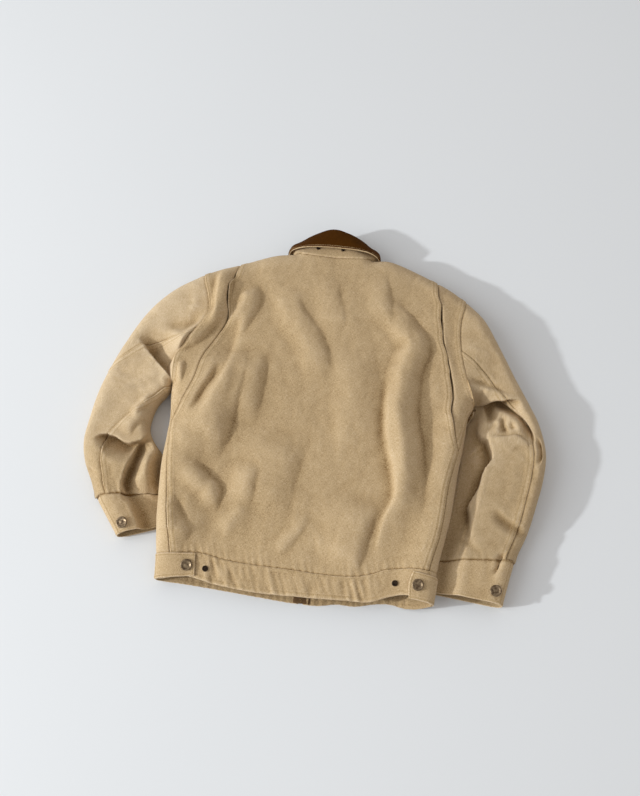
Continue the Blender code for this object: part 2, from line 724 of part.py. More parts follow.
def front_panel(torso, side, finish, collection):
    """Front, flat on the floor, rolled up round the side to the side seam."""
    seam = np.concatenate([side.side_seam(), side.underarm_seam()[1:]])
    rolls = [rolled(torso, side, y, side.side.at("seam", y)) for y in seam[:-1, 1]]
    armhole = side.under_armhole()
    pleat_top = np.array(side.pleat[-1], float)
    to_pleat = unit(pleat_top - armhole[-1])
    for index, point in enumerate(armhole[:-1]):
        part = (index / UNDER_COLUMNS) ** 3
        way = unit(np.array([-side.way, 0.0]) * (1 - part) + to_pleat * part)
        reach = FRONT_ROLL * (1 + 0.9 * part)
        path = np.linspace(point, point + way * reach, 40)
        rolls.append(resample(torso.surface(path, False), even(ROLL_COLUMNS)))
    rolls.append(torso.surface(from_armhole(side, pleat_top), False))
    rolls = np.array(rolls)
    left = rolls[:, -1, :2]
    right = front_edge(side, left)
    neck = spline(side.neck, even(NECK_FRONT))
    top = np.concatenate([to_neck(side, pleat_top), neck[1:]])
    bottom = np.linspace(left[0], right[0], len(top))
    floor = torso.surface(patch(bottom, top, left, right), False)
    outer = np.concatenate([rolls, floor[:, 1:]], axis=1)
    normals = torso.normals(outer)
    normals[-1, ROLL_COLUMNS + SHOULDER_COLUMNS] = neck_corner(torso, side)
    normals[SEAM_ROWS + UNDERARM_ROWS, 0] = underarm()
    cloth("front_" + side.word, outer, normals, CANVAS, finish, collection)
    return right


def front_edge(side, left):
    """Front edge beside the zip, with a point for each row of the front."""
    run = np.concatenate([[0.0], np.cumsum(np.linalg.norm(np.diff(left, axis=0), axis=1))])
    start = left[0, 1] - 8.0
    y = start + (side.neck[-1][1] - start) * run / run[-1]
    right = np.stack([CENTRE_FRONT.at("x", y) + side.way * ZIP_HALF, y], -1)
    right[-1] = side.neck[-1]
    return right


def sleeve_panels(side, finish, collection):
    """The cap piece, round the outer edge and below, and the elbow piece on top."""
    station = (LAST_STATION * even(SLEEVE_ROWS))[:, None]
    back = turn_of(side.seams.at("back", station))
    under = turn_of(side.seams.at("under", station))
    cap = np.arccos(1 - 2 * side.cap) / (2 * np.pi)
    lower = 1 - np.arccos(1 - 2 * (1 - eased(UNDER_COLUMNS))) / (2 * np.pi)
    elbow = (cap[CAP_COLUMNS:] - cap[CAP_COLUMNS]) / (cap[-1] - cap[CAP_COLUMNS])
    wrap = np.concatenate([lower, 1 + cap[1:CAP_COLUMNS + 1]])
    wrap = (wrap - wrap[0]) / (wrap[-1] - wrap[0])
    grids = {
        "sleeve_under_": back + (under - back) * elbow[None],
        "sleeve_upper_": under + (1 + back - under) * wrap[None],
    }
    for word, turns in grids.items():
        stations = station + 0.0 * turns
        outer = side.sleeve.ring(stations, turns)
        normals = side.sleeve.directions(outer, stations)
        normals[0, -1 if word == "sleeve_under_" else 0] = underarm()
        cloth(word + side.word, outer, normals, CANVAS, finish, collection)


def cuff(side, finish, collection):
    """A ring whose start laps over its end at the placket, near the outer edge."""
    station = (LAST_STATION + (CUFF_STATION - LAST_STATION) * even(CUFF_ROWS))[:, None]
    table = side.sleeve.table
    around = 2.3 * math.hypot(table.at("out_x", 10.5) - table.at("in_x", 10.5),
                              table.at("out_y", 10.5) - table.at("in_y", 10.5))
    lap = PLACKET_LAP / around
    turn = np.concatenate([[0.0, 0.6, 1.2, 1.9, 2.7], np.linspace(3.6, 1 / lap - 1, 20),
                           [1 / lap, 1 / lap + 1]]) * lap
    turns = float(turn_of(PLACKET_SHARE)) + turn[None] + 0.0 * station
    stations = station + 0.0 * turns
    outer = side.sleeve.ring(stations, turns)
    normals = side.sleeve.directions(outer, stations)
    outer = outer + normals * (LAP_LIFT * ease((2.7 - turn / lap) / 1.5))[None, :, None]
    cloth("cuff_" + side.word, outer, normals, CANVAS, finish, collection)


def gather(plan, share):
    """Height of the band's gathers, which start at the seam."""
    first, last, count = GATHERS
    along = (plan[..., 0] - first) / (last - first)
    phase = along + 0.012 * np.sin(2 * np.pi * along * 3.1) + 0.01 * np.sin(along * 47.0)
    ends = ease(along / 0.08) * ease((1 - along) / 0.08) * ease(share * 2.5)
    return GATHER_HEIGHT * ends * np.sin(2 * np.pi * count * phase)


def band_back(torso, seam, finish, collection):
    """Back of the waistband, hung from the centre back's lower edge, with its gathers."""
    parts = even(GATHER_STEPS)[:-1]
    top = np.concatenate([seam[:-1, None] + (seam[1:] - seam[:-1])[:, None]
                          * parts[None, :, None]]).reshape(-1, 3)
    top = np.concatenate([top, seam[-1:]])
    share = even(BAND_ROWS)[:, None]
    x = top[:, 0] + 0.0 * share
    y = top[:, 1] + (BACK_HEM.at("y", top[:, 0]) - top[:, 1]) * share
    for side, column in ((LEFT_SIDE, 0), (RIGHT_SIDE, -1)):
        way = 1 if column == 0 else -1
        x[:, column] = side.at("rail", y[:, column]) + way * side.at("seam", y[:, column])
    plan = np.stack([x, y], -1)
    outer = torso.surface(plan, True)
    outer[..., 2] += gather(plan, share)
    outer[0] = top
    return cloth("band_back", outer, torso.normals(outer), CANVAS, finish, collection)


def band_front(torso, side, finish, collection):
    """Front of the waistband, flat on the floor and rolled up to the side seam."""
    y = side.band_y()
    rows = []
    for share in even(BAND_ROWS + 1):
        roll = rolled(torso, side, y, side.side.at("seam", y), hem=True, share=share)
        start = roll[-1, :2]
        top_y = y - 8.0
        x = np.linspace(start[0], CENTRE_FRONT.at("x", top_y) + side.way * ZIP_HALF, 9)[1:]
        seam = start[1] + (x - start[0]) / (x[-1] - start[0]) * (
            (top_y + (FRONT_HEM.at("y", x[-1]) - top_y) * share) - start[1])
        hem = FRONT_HEM.at("y", x)
        base = y + (x - start[0]) / (x[-1] - start[0]) * (top_y - y)
        height = base + (hem - base) * share
        height = np.where(share == 0, seam, height)
        floor = torso.surface(np.stack([x, height], -1), False)
        rows.append(np.concatenate([roll, floor]))
    outer = np.array(rows)
    return cloth("band_front_" + side.word, outer, torso.normals(outer), CANVAS, finish,
                 collection)


def tab_left(torso, finish, collection):
    """Waist tab on the wearer's left, lying on the band."""
    top = np.stack([np.linspace(-241, -176, 9), np.linspace(-331, -324, 9)], -1)
    low = np.stack([np.linspace(-238, -172, 9), np.linspace(-371, -360, 9)], -1)
    share = even(3)[:, None, None]
    plan = top[None] + (low - top)[None] * share
    outer = torso.surface(plan, True)
    normals = torso.normals(outer)
    lifted = outer + normals * (TAB_SEAT + TAB)
    return cloth("tab_left", lifted, normals, TAB, finish, collection, trim=0.0)


def tab_right(torso, right, finish, collection):
    """Waist tab on the wearer's right, wrapped round the edge of the hem."""
    rows = []
    for share, nose in zip(even(4), (3.0, 1.0, 0.0, 1.5, 4.0)):
        y = -313.0 - 43.0 * share
        depth = np.concatenate([np.linspace(44.0 - nose, 0.0, 30), np.linspace(0.0, 6.0, 8)[1:]])
        upper = np.arange(len(depth)) < 30
        height = np.full(len(depth), y) - np.linspace(0, 6.0, len(depth))
        x = right.side.at("rail", height) - depth
        rows.append(resample(torso.surface(np.stack([x, height], -1), upper), even(9)))
    outer = np.array(rows)
    normals = torso.normals(outer)
    lifted = outer + normals * (TAB_SEAT + TAB)
    return cloth("tab_right", lifted, normals, TAB, finish, collection, trim=0.0)


def neck_corner(torso, side):
    """Outward direction where the shoulder meets the neck, between front and back."""
    back = spline(BACK_NECK, even(NECK_BACK))[1 if side.way < 0 else -2]
    front = spline(side.neck, even(NECK_FRONT))[1]
    above = torso.normals(torso.surface(back, np.array(True)))
    below = torso.normals(torso.surface(front, np.array(False)))
    return unit(above + below)


def underarm():
    """Outward direction where body and sleeve meet in the armpit, between the two."""
    return np.array([0.0, -1.0, 0.0])


class Collar:
    """Stand and fall, one strip folded over the roll line, round the whole neck."""

    def __init__(self, torso, left, right):
        front = spline(left.neck, even(NECK_FRONT))[::-1]
        back = spline(BACK_NECK, even(NECK_BACK))
        other = spline(right.neck, even(NECK_FRONT))
        plan = np.concatenate([front, back[1:], other[1:]])
        upper = np.zeros(len(plan), bool)
        upper[NECK_FRONT:NECK_FRONT + NECK_BACK + 1] = True
        self.base = torso.surface(plan, upper)
        self.normals = torso.normals(self.base)
        self.normals[NECK_FRONT] = neck_corner(torso, left)
        self.normals[NECK_FRONT + NECK_BACK] = neck_corner(torso, right)

    def strip(self):
        """Points on the folded strip's hollow side, a row for each neck station."""
        station = np.arange(len(self.base), dtype=float)
        crest = np.stack([COLLAR.at("crest_" + axis, station) for axis in "xyz"], -1)
        rise = np.linalg.norm(crest - self.base, axis=1)[:, None]
        up = (crest - self.base) / rise
        even_out = self.normals.copy()
        even_out[1:-1] += (self.normals[:-2] + self.normals[2:]) * 0.5
        out = unit(even_out - up * (even_out * up).sum(-1, keepdims=True))
        gap, leaf_up, leaf_out = (
            COLLAR.at(column, station)[:, None] for column in ("gap", "leaf_up", "leaf_out")
        )
        s = even(STAND_COLUMNS)[None]
        bend = (np.pi * even(CREST_COLUMNS))[None]
        t = even(LEAF_COLUMNS)[None]
        arch = LEAF_ARCH * np.sin(np.pi * t) * (gap > 2.5)
        along = (rise * s, rise + gap / 2 * np.sin(bend), rise + (leaf_up - rise) * t)
        away = (0.0 * rise * s, gap / 2 * (1 - np.cos(bend)), gap + (leaf_out - gap) * t + arch)
        a = np.concatenate([along[0], along[1][:, 1:], along[2][:, 1:]], 1)[..., None]
        b = np.concatenate([away[0], away[1][:, 1:], away[2][:, 1:]], 1)[..., None]
        turn = np.concatenate([0 * s[0], bend[0, 1:], 0 * t[0, 1:] + np.pi])[None, :, None]
        facing = np.cos(turn) * out[:, None] - np.sin(turn) * up[:, None]
        facing[:, 0] = self.normals
        return self.base[:, None] + a * up[:, None] + b * out[:, None], facing

    def build(self, canvas, corduroy, collection):
        points, normals = self.strip()
        turn = np.arange(len(points)) - NECK_FRONT
        near = np.clip(1 - np.minimum(abs(turn), abs(turn - NECK_BACK)) / 2, 0, 1)[:, None]
        clear = np.cross(self.normals, np.gradient(self.base, axis=0))
        clear *= np.sign((clear * (points[:, 1] - points[:, 0])).sum(-1, keepdims=True))
        points[:, 0] += unit(clear) * SEAM_GAP * (1 + near)
        stand = slice(0, STAND_COLUMNS + 1)
        fall = slice(STAND_COLUMNS, None)
        self.stand_points, self.stand_normals = points[:, stand], normals[:, stand]
        cloth("collar_stand", points[:, stand], normals[:, stand], CANVAS, canvas, collection)
        leaf = points[:, fall].copy()
        rise = unit(leaf[:, 0] - points[:, 0])[:, None]
        leaf[:, :CREST_COLUMNS + 1] += rise * CORNER_CLEAR * near[..., None]
        cloth("collar_fall", leaf, normals[:, fall], CORDUROY, corduroy, collection)


def zip_tapes(torso, edges, finish, collection):
    """Two tapes inside the front edges, from the band's hem to the neck."""
    for word, way, edge in (("left", -1, edges[0]), ("right", 1, edges[1])):
        y = np.concatenate([[-378.0], edge[:-1, 1], [206.0]])[:, None]
        x = CENTRE_FRONT.at("x", y) + way * np.linspace(TAPE_SPLIT, TAPE_HALF, 2)[None]
        plan = np.stack([x, y + 0.0 * x], -1)
        outer = torso.surface(plan, False)
        normals = torso.normals(outer)
        raised = outer - normals * (CANVAS + TAPE_SEAT)
        cloth("zip_tape_" + word, raised, normals, TAPE, finish, collection, trim=0.0)


def zip_slider(torso, finish, collection, cutters):
    """Slider body on the tapes and its pull tab, which hangs on a cross pin."""
    x = float(CENTRE_FRONT.at("x", SLIDER_Y))
    raised = float(torso.raised(np.array([x, SLIDER_Y])))
    tape = raised + CANVAS + TAPE_SEAT
    front_low, front_high = tape - 2.3, tape - 1.2
    pin_z = front_low - 1.9
    pin_y = SLIDER_Y - 3.0
    body = add_object("zip_slider", box("slider_front", (x - 4.2, SLIDER_Y - 6, front_low),
                                        (x + 4.2, SLIDER_Y + 6, front_high)), finish, collection)
    combine(body, [
        box("slider_rear", (x - 4.2, SLIDER_Y - 6, tape + 2.2), (x + 4.2, SLIDER_Y + 6, tape + 3.2)),
        box("slider_post", (x - 0.35, SLIDER_Y + 2, front_high - 0.3),
            (x + 0.35, SLIDER_Y + 5.5, tape + 2.5)),
        box("lug_left", (x - 3.6, pin_y - 1.3, pin_z - 1.0), (x - 2.6, pin_y + 1.3, front_low + 0.3)),
        box("lug_right", (x + 2.6, pin_y - 1.3, pin_z - 1.0), (x + 3.6, pin_y + 1.3, front_low + 0.3)),
        rod("pin", (x, pin_y, pin_z), 0.55, 6.4),
    ], "UNION", finish, cutters)
    hinge = Vector(place((x, pin_y, pin_z)))
    barrel = rod("barrel", (x, pin_y, pin_z), 1.5, 4.4)
    barrel.transform(Matrix.Translation(-hinge))
    pull = add_object("zip_pull", barrel, finish, collection)
    pull.location = hinge
    combine(pull, [box("pull_plate", (x - 2.2, pin_y - PULL_LENGTH, pin_z - 0.6),
                       (x + 2.2, pin_y - 1.1, pin_z + 0.6))], "UNION", finish, cutters)
    combine(pull, [rod("pin_hole", (x, pin_y, pin_z), 0.75, 8.0)], "DIFFERENCE", finish, cutters)


def fittings(torso, left, right, collar, metal, dark, collection):
    """Buttons on the cuffs and tabs, spare tab studs on the band, snaps on the stand."""
    button = [(0.0, BUTTON_HEIGHT - 0.9), (6.2, BUTTON_HEIGHT - 0.9), (7.4, BUTTON_HEIGHT),
              (8.8, BUTTON_HEIGHT), (BUTTON_RADIUS, BUTTON_HEIGHT - 0.9),
              (BUTTON_RADIUS - 0.4, 1.6), (5.0, 0.8), (5.0, 0.0), (0.0, 0.0)]
    post = [(0.0, POST_HEIGHT), (POST_RADIUS - 0.8, POST_HEIGHT), (POST_RADIUS, 0.8),
            (POST_RADIUS, 0.0), (0.0, 0.0)]
    snap = [(0.0, SNAP_HEIGHT - 0.3), (SNAP_RADIUS - 0.7, SNAP_HEIGHT), (SNAP_RADIUS, 0.6),
            (SNAP_RADIUS, 0.0), (0.0, 0.0)]
    on_tab = TAB_SEAT + TAB + 1.4
    for name, place_at, profile, finish, height, sides in (
        ("button_tab_left", (-188, -344), button, metal, on_tab, 12),
        ("button_tab_right", (207, -334), button, metal, on_tab, 12),
        ("stud_left", (-155, -347), post, dark, SEAT + 0.9, 10),
        ("stud_right", (169, -334), post, dark, SEAT + 1.4, 10),
    ):
        point = torso.surface(np.array(place_at, float), True)
        normal = torso.normals(point)
        turned(name, profile, sides, point + normal * height, normal, finish, collection)
    for side, station, share in ((left, 10.80, 0.16), (right, 10.74, 0.15)):
        point = side.sleeve.ring(np.array(station), turn_of(share))
        normal = side.sleeve.directions(point, np.array(station))
        turned("button_cuff_" + side.word, button, 12, point + normal * (LAP_LIFT + 1.2), normal,
               metal, collection)
    for word, station in (("left", 6.5), ("right", 9.5)):
        low, high = collar.stand_points[int(station)], collar.stand_points[int(station) + 1]
        point = (low[0] + high[0]) * 0.32 + (low[1] + high[1]) * 0.18
        normal = unit(collar.stand_normals[int(station):int(station) + 2, :2].mean((0, 1)))
        turned("hood_snap_" + word, snap, 8, point + normal * 3 * SEAT, normal, dark,
               collection)


def build():
    for old in list(bpy.data.objects):
        bpy.data.objects.remove(old)
    collection = bpy.data.collections.new(JACKET)
    cutters = bpy.data.collections.new("cutters")
    bpy.context.scene.collection.children.link(collection)
    bpy.context.scene.collection.children.link(cutters)
    canvas = material("canvas", (0.56, 0.41, 0.23), 0.95)
    corduroy = material("corduroy", (0.16, 0.07, 0.025), 0.9)
    metal = material("button_metal", (0.32, 0.25, 0.18), 0.45, 0.9)
    dark = material("stud_metal", (0.10, 0.08, 0.06), 0.5, 0.9)
    tape = material("zip_tape", (0.42, 0.31, 0.18), 0.9)
    brass = material("zip_metal", (0.45, 0.36, 0.22), 0.4, 1.0)

    left_rail = side_line(LEFT_SIDE, LEFT_ARMHOLE[-1][1], -385.0)
    right_rail = side_line(RIGHT_SIDE, -385.0, RIGHT_ARMHOLE[-1][1])
    outlines = []
    for table, shoulder in ((LEFT_SLEEVE, LEFT_SHOULDER), (RIGHT_SLEEVE, RIGHT_SHOULDER)):
        station = np.linspace(0.0, CUFF_STATION, 60)[1:]
        outer = np.stack([table.at("out_x", station), table.at("out_y", station)], -1)
        inner = np.stack([table.at("in_x", station), table.at("in_y", station)], -1)
        start = np.array([[table.at("in_x", 0.0), table.at("in_y", 0.0)]])
        outlines.append((np.concatenate([spline(shoulder, even(24)), outer]),
                         np.concatenate([start, inner])))
    left_top, left_inner = outlines[0]
    right_top, right_inner = outlines[1][0][::-1], outlines[1][1]
    torso = Torso([left_rail, right_rail, left_top, right_top])
    above = np.array([[0.0, 300.0]])
    left_wall = np.concatenate([left_rail[:1] + above, left_rail])
    right_wall = np.concatenate([right_rail, right_rail[-1:] + above])
    left_sleeve = Sleeve([left_top, left_inner[::-1]], torso, left_wall, LEFT_SLEEVE,
                         LEFT_ARMHOLE, LEFT_FOLDS)
    right_sleeve = Sleeve([right_top, right_inner], torso, right_wall, RIGHT_SLEEVE,
                          RIGHT_ARMHOLE, RIGHT_FOLDS)
    left = Side("left", -1, torso, LEFT_SIDE, LEFT_ARMHOLE, LEFT_SHOULDER, LEFT_PLEAT,
                LEFT_FRONT_NECK, left_sleeve, LEFT_SEAMS, LEFT_ELBOW_SHARE)
    right = Side("right", 1, torso, RIGHT_SIDE, RIGHT_ARMHOLE, RIGHT_SHOULDER, RIGHT_PLEAT,
                 RIGHT_FRONT_NECK, right_sleeve, RIGHT_SEAMS, RIGHT_ELBOW_SHARE)

    seam = back_panel(torso, left, right, canvas, collection)
    edges = []
    for side in (left, right):
        side_back(torso, side, canvas, collection)
        edges.append(front_panel(torso, side, canvas, collection))
        sleeve_panels(side, canvas, collection)
        cuff(side, canvas, collection)
        band_front(torso, side, canvas, collection)
    band_back(torso, seam, canvas, collection)
    tab_left(torso, canvas, collection)
    tab_right(torso, right, canvas, collection)
    collar = Collar(torso, left, right)
    collar.build(canvas, corduroy, collection)
    zip_tapes(torso, edges, tape, collection)
    zip_slider(torso, brass, collection, cutters)
    fittings(torso, left, right, collar, metal, dark, collection)


build()
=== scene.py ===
"""Looks of a washed canvas work jacket, laid face down on a pale floor.

Sizes are in millimetres in the jacket's own plan: +X to the wearer's right, +Y to the collar,
+Z up from the floor.  The cloth is drawn again on the surfaces of its solids, with its creases,
seams, gathers and sewing, and each piece of cloth stands for the solid of its name.
"""
from __future__ import annotations

import logging
import math
from dataclasses import dataclass, field
from enum import Enum
from typing import Any, Sequence

import bmesh
import bpy
import numpy as np
from bpy.types import Material, Mesh, Node, NodeSocket, NodeTree, Object
from mathutils import Matrix, Vector

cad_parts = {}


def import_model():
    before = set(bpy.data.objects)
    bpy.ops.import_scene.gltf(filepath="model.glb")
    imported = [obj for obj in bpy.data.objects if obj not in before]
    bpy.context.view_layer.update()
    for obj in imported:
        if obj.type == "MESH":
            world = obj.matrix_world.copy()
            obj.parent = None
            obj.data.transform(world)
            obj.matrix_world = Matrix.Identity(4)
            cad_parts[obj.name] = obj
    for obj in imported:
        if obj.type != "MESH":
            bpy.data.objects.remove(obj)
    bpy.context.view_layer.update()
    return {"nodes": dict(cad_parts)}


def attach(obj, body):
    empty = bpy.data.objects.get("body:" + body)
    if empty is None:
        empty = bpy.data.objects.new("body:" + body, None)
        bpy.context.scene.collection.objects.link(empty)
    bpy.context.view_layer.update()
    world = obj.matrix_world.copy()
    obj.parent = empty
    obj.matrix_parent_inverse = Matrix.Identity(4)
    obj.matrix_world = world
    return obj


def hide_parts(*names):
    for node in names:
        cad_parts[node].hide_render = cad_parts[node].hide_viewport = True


LOG = logging.getLogger("work_jacket")
Array = np.ndarray
Points = Sequence[Sequence[float]]
Pair = tuple[Array, Array]

MM = 0.001
MIDDLE = np.array([2.0, -15.5, 0.0])
JACKET = "jacket"

# --- curves and numbers


class Table:
    """Rows of sizes with named columns; the first column is the key and rises."""

    def __init__(self, columns: str, rows: Points) -> None:
        """Read the rows.

        Args:
            columns: names of the columns, parted by spaces.
            rows: one tuple of sizes for each key.
        """
        values = np.array(rows, float).T
        self.columns = dict(zip(columns.split(), values))
        self.keys = values[0]

    def at(self, column: str, key: Array | float) -> Array:
        """Size in a column at any key, on the smooth curve through the rows."""
        return smooth(self.keys, self.columns[column], key)

    def spot(self, edge: str, key: Array | float) -> Array:
        """Plan place of an edge at any key, from its two columns."""
        return np.stack([self.at(edge + "_x", key), self.at(edge + "_y", key)], -1)

    def along(self, column: str, key: Array) -> Array:
        """Plan places of a line that the table gives over its key, X or Y."""
        places = [self.at(column, key), key]
        return np.stack(places if column != "y" else places[::-1], -1)


def smooth(keys: Array, values: Array, at: Array | float) -> Array:
    """Cubic curve through a table's values.

    Args:
        keys: rising keys.
        values: value at each key.
        at: keys to read.

    Returns:
        The curve's value at each key read.
    """
    slopes = np.gradient(values, keys)
    at = np.clip(np.asarray(at, float), keys[0], keys[-1])
    row = np.clip(np.searchsorted(keys, at) - 1, 0, len(keys) - 2)
    step = keys[row + 1] - keys[row]
    s = (at - keys[row]) / step
    start = values[row] * (1 + 2 * s) * (1 - s) ** 2 + slopes[row] * step * s * (1 - s) ** 2
    end = values[row + 1] * s * s * (3 - 2 * s) + slopes[row + 1] * step * s * s * (s - 1)
    return start + end


def run_of(path: Array) -> Array:
    """Run of length at each point of a path."""
    return np.concatenate([[0.0], np.cumsum(np.linalg.norm(np.diff(path, axis=0), axis=1))])


def resample(path: Array, shares: Array) -> Array:
    """Points at the given shares of a path's length."""
    path = np.asarray(path, float)
    run = run_of(path)
    return np.stack([np.interp(shares, run / run[-1], column) for column in path.T], -1)


def spline(points: Points, shares: Array) -> Array:
    """Points at the given shares of the smooth curve through a few points."""
    points = np.asarray(points, float)
    run = run_of(points)
    fine = np.linspace(0.0, run[-1], 240)
    return resample(np.stack([smooth(run, column, fine) for column in points.T], -1), shares)


def line_of(text: str) -> Array:
    """Plan places written as x,y and parted by spaces."""
    return np.array([spot.split(",") for spot in text.split()], float)


def ease(value: Array | float) -> Array:
    """Smooth step from 0 at 0 to 1 at 1."""
    s = np.clip(value, 0.0, 1.0)
    return s * s * (3 - 2 * s)


def even(count: int) -> Array:
    """Even shares from 0 to 1."""
    return np.linspace(0.0, 1.0, count + 1)


def unit(vectors: Array) -> Array:
    """Vectors made one long."""
    return vectors / np.maximum(np.linalg.norm(vectors, axis=-1, keepdims=True), 1e-9)


def nearest(plan: Array, line: Array) -> Pair:
    """Signed distance to a line, and the share of it that is nearest.

    Args:
        plan: plan places, of any shape.
        line: points of the line.

    Returns:
        The distance, positive to the left of the line and beyond its ends, and the share.
    """
    shape = plan.shape[:-1]
    places = plan.reshape(-1, 2)
    start = line[:-1]
    span = np.diff(line, axis=0)
    distances, shares = [], []
    for first in range(0, len(places), 8000):
        offset = places[first:first + 8000, None, :] - start
        share = np.clip((offset * span).sum(-1) / (span * span).sum(-1), 0.0, 1.0)
        distance = np.linalg.norm(offset - share[..., None] * span, axis=-1)
        best = np.argmin(distance, axis=-1)[:, None]
        turn = span[:, 0] * offset[..., 1] - span[:, 1] * offset[..., 0]
        along = (np.arange(len(span)) + share) / len(span)
        turn, distance, along = (
            np.take_along_axis(values, best, -1)[:, 0] for values in (turn, distance, along)
        )
        beyond = (along <= 0.0) | (along >= 1.0)
        distances.append(np.where((turn < 0) & ~beyond, -distance, distance))
        shares.append(along)
    return np.concatenate(distances).reshape(shape), np.concatenate(shares).reshape(shape)


def noise(plan: Array, size: tuple[float, float], seed: int) -> Array:
    """Soft random height between about -1 and 1.

    Args:
        plan: plan places.
        size: how far apart its hills are along X and Y.
        seed: which of the fields.

    Returns:
        The height at each place.
    """
    place = plan / np.asarray(size) + (seed * 7.31, seed * 3.17)
    cell = np.floor(place).astype(np.int64)
    part = place - cell
    blend = part ** 3 * (part * (part * 6 - 15) + 10)
    total = np.zeros(plan.shape[:-1])
    for right, up in ((0, 0), (0, 1), (1, 0), (1, 1)):
        mixed = (cell[..., 0] + right) * 374761393 + (cell[..., 1] + up) * 668265263
        mixed = (mixed + seed * 1442695) & 0x7FFFFFFF
        mixed = ((mixed ^ (mixed >> 13)) * 1274126177) & 0x7FFFFFFF
        angle = (mixed ^ (mixed >> 16)) % 6283 / 1000.0
        slope = np.cos(angle) * (part[..., 0] - right) + np.sin(angle) * (part[..., 1] - up)
        weight = blend[..., 0] if right else 1 - blend[..., 0]
        total += weight * (blend[..., 1] if up else 1 - blend[..., 1]) * slope
    return total * 1.6


def wander(run: Array, size: float, seed: int) -> Array:
    """Soft random value between about -1 and 1 along a run of length."""
    return noise(np.stack([run, 0.0 * run + 0.37], -1), (size, size), seed)


# --- sizes of the jacket

# Walls of both cloths, and the closed edges' section and reach.
CANVAS, CORDUROY = 2.0, 2.6
ROUND, TORSO_ROLL, SLEEVE_ROLL = 2.4, 34.0, 30.0
# Where a sleeve is tucked below the body: its height, its roll, and how far from the body's
# side it starts to rise and over what distance it does; then the least height of its crown.
TUCKED, TUCKED_ROLL, TUCK_CLEAR = 13.0, 9.0, 2.0
LEFT_FADE, RIGHT_FADE = 26.0, 44.0
LOW, SOFT = 9.0, 3.0
# Seats of the fittings above the bare cloth.
BUTTON_SEAT, CUFF_SEAT, STUD_SEAT, SNAP_SEAT = 4.3, 4.2, 1.6, 0.4
# Heights in plan of the body's end, the armpit and the pleats' end.
LOWEST, PIT, PLEAT_END = -385.0, 10.0, -92.0
# The fronts: reach of the roll under the side, its cut length, half of the gap at the zip,
# and how much lower the band's seam is there.
FRONT_ROLL, ROLL_LENGTH, ZIP_HALF, FRONT_DROP = 28.0, 62.0, 5.0, 8.0
# Stations of the sleeve's lower seam and the cuff's lower edge, and the tube's middle height.
LAST_STATION, CUFF_STATION, SLEEVE_MIDDLE = 10.0, 11.0, 18.0
# Collar stations along the back neck and each front neck, and steps along a drawn seam.
NECK_BACK, NECK_FRONT, SEAM_STEPS = 10, 4, 120
# A pleat's lap over the side back, its lift, and the crevice and the fold below its edge.
PLEAT_LAP, PLEAT_LIFT, PLEAT_DEPTH, PLEAT_FOLD = 6.0, 3.0, 9.0, 2.4

LEFT_SIDE = Table("y rail seam", [
    (-385, -239.0, 27.0), (-339, -243.0, 27.0), (-301, -249.0, 25.5), (-250, -255.5, 21.0),
    (-206, -260.0, 17.0), (-165, -263.0, 13.5), (-119, -262.5, 8.0), (-92, -263.5, 6.5),
    (-51, -268.0, 1.5), (-12, -272.0, 0.0),
])
RIGHT_SIDE = Table("y rail seam", [
    (-385, 232.0, 18.0), (-339, 237.0, 17.0), (-300, 239.5, 15.0), (-250, 247.5, 12.0),
    (-206, 254.5, 14.0), (-165, 258.0, 15.0), (-119, 261.5, 11.0), (-92, 265.0, 9.0),
    (-51, 269.0, 5.0), (-15, 272.0, 2.0), (8, 281.0, 0.0),
])
BODY = Table("y crown equator", [
    (-385, 27, 14), (-372, 29, 14), (-330, 38, 17), (-300, 46, 20), (-250, 54, 22),
    (-180, 58, 22), (-80, 60, 22), (0, 60, 22), (100, 58, 22), (200, 54, 22), (260, 50, 23),
    (300, 47, 24),
])
CENTRE_FRONT = Table("y x", [(-385, 14), (-200, 10), (0, 5), (212, -5), (300, -8)])
BACK_SEAM = Table("x y", [
    (-260, -334), (-231, -333), (-171, -323), (-127, -329), (3, -333), (51, -334),
    (101, -331), (128, -324), (150, -315), (179, -310), (260, -312),
])
BACK_HEM = Table("x y", [
    (-260, -372), (-237, -371), (-188, -362), (-142, -369), (-98, -374), (12, -374),
    (85, -371), (133, -368), (158, -358), (180, -352), (201, -352), (217, -356), (260, -364),
])
FRONT_HEM = Table("x y", [
    (-260, -369), (-237, -369), (-184, -370), (-125, -373), (-58, -377), (9, -380),
    (44, -379), (73, -373), (103, -373), (143, -364), (165, -362), (192, -367), (222, -366),
    (260, -358),
])
LEFT_ARMHOLE = line_of("-250,224 -242,196 -233,172 -227,132 -235,107 -245,86 -258,62 -272,35 "
                       "-273,12 -272,-12")
RIGHT_ARMHOLE = line_of("252,226 248,198 244,172 244,143 248,111 254,82 261,57 271,32 281,8")
LEFT_SHOULDER = line_of("-84,288 -112,283 -150,270 -189,253 -222,239 -250,224")
RIGHT_SHOULDER = line_of("68,291 97,295 128,288 180,267 221,247 252,226")
BACK_NECK = line_of("-84,288 -60,284.5 -30,283 -5,283 30,285 68,291")
LEFT_FRONT_NECK = line_of("-84,288 -79,268 -60,238 -35,219 -10,212")
RIGHT_FRONT_NECK = line_of("68,291 63,268 47,238 23,219 0,212")
LEFT_PLEAT = line_of("-257,-92 -249,-69 -241,-43 -229,-8 -222,34 -198,92 -187,120 -188,150 "
                     "-189,189 -186,228 -183,256")
RIGHT_PLEAT = line_of("256,-92 250,-72 243,-42 233,-3 229,34 216,93 206,128 201,167 197,215 "
                      "194,261")
PLEAT_SHARES = {"left": (0.55, 0.97), "right": (0.08, 0.97)}
RAISED = [
    (14.5, 32.0, 80.0, [(-262, -150), (-248, -215), (-232, -275)]),
    (14.5, 24.0, 72.0, [(272, -48), (264, -110), (254, -200), (232, -332)]),
    (6.0, 46.0, 96.0, [(-72, 250), (-42, 215), (-5, 192), (30, 215), (58, 250)]),
]
SLEEVE_COLUMNS = "station out_x out_y in_x in_y crown equator tuck"
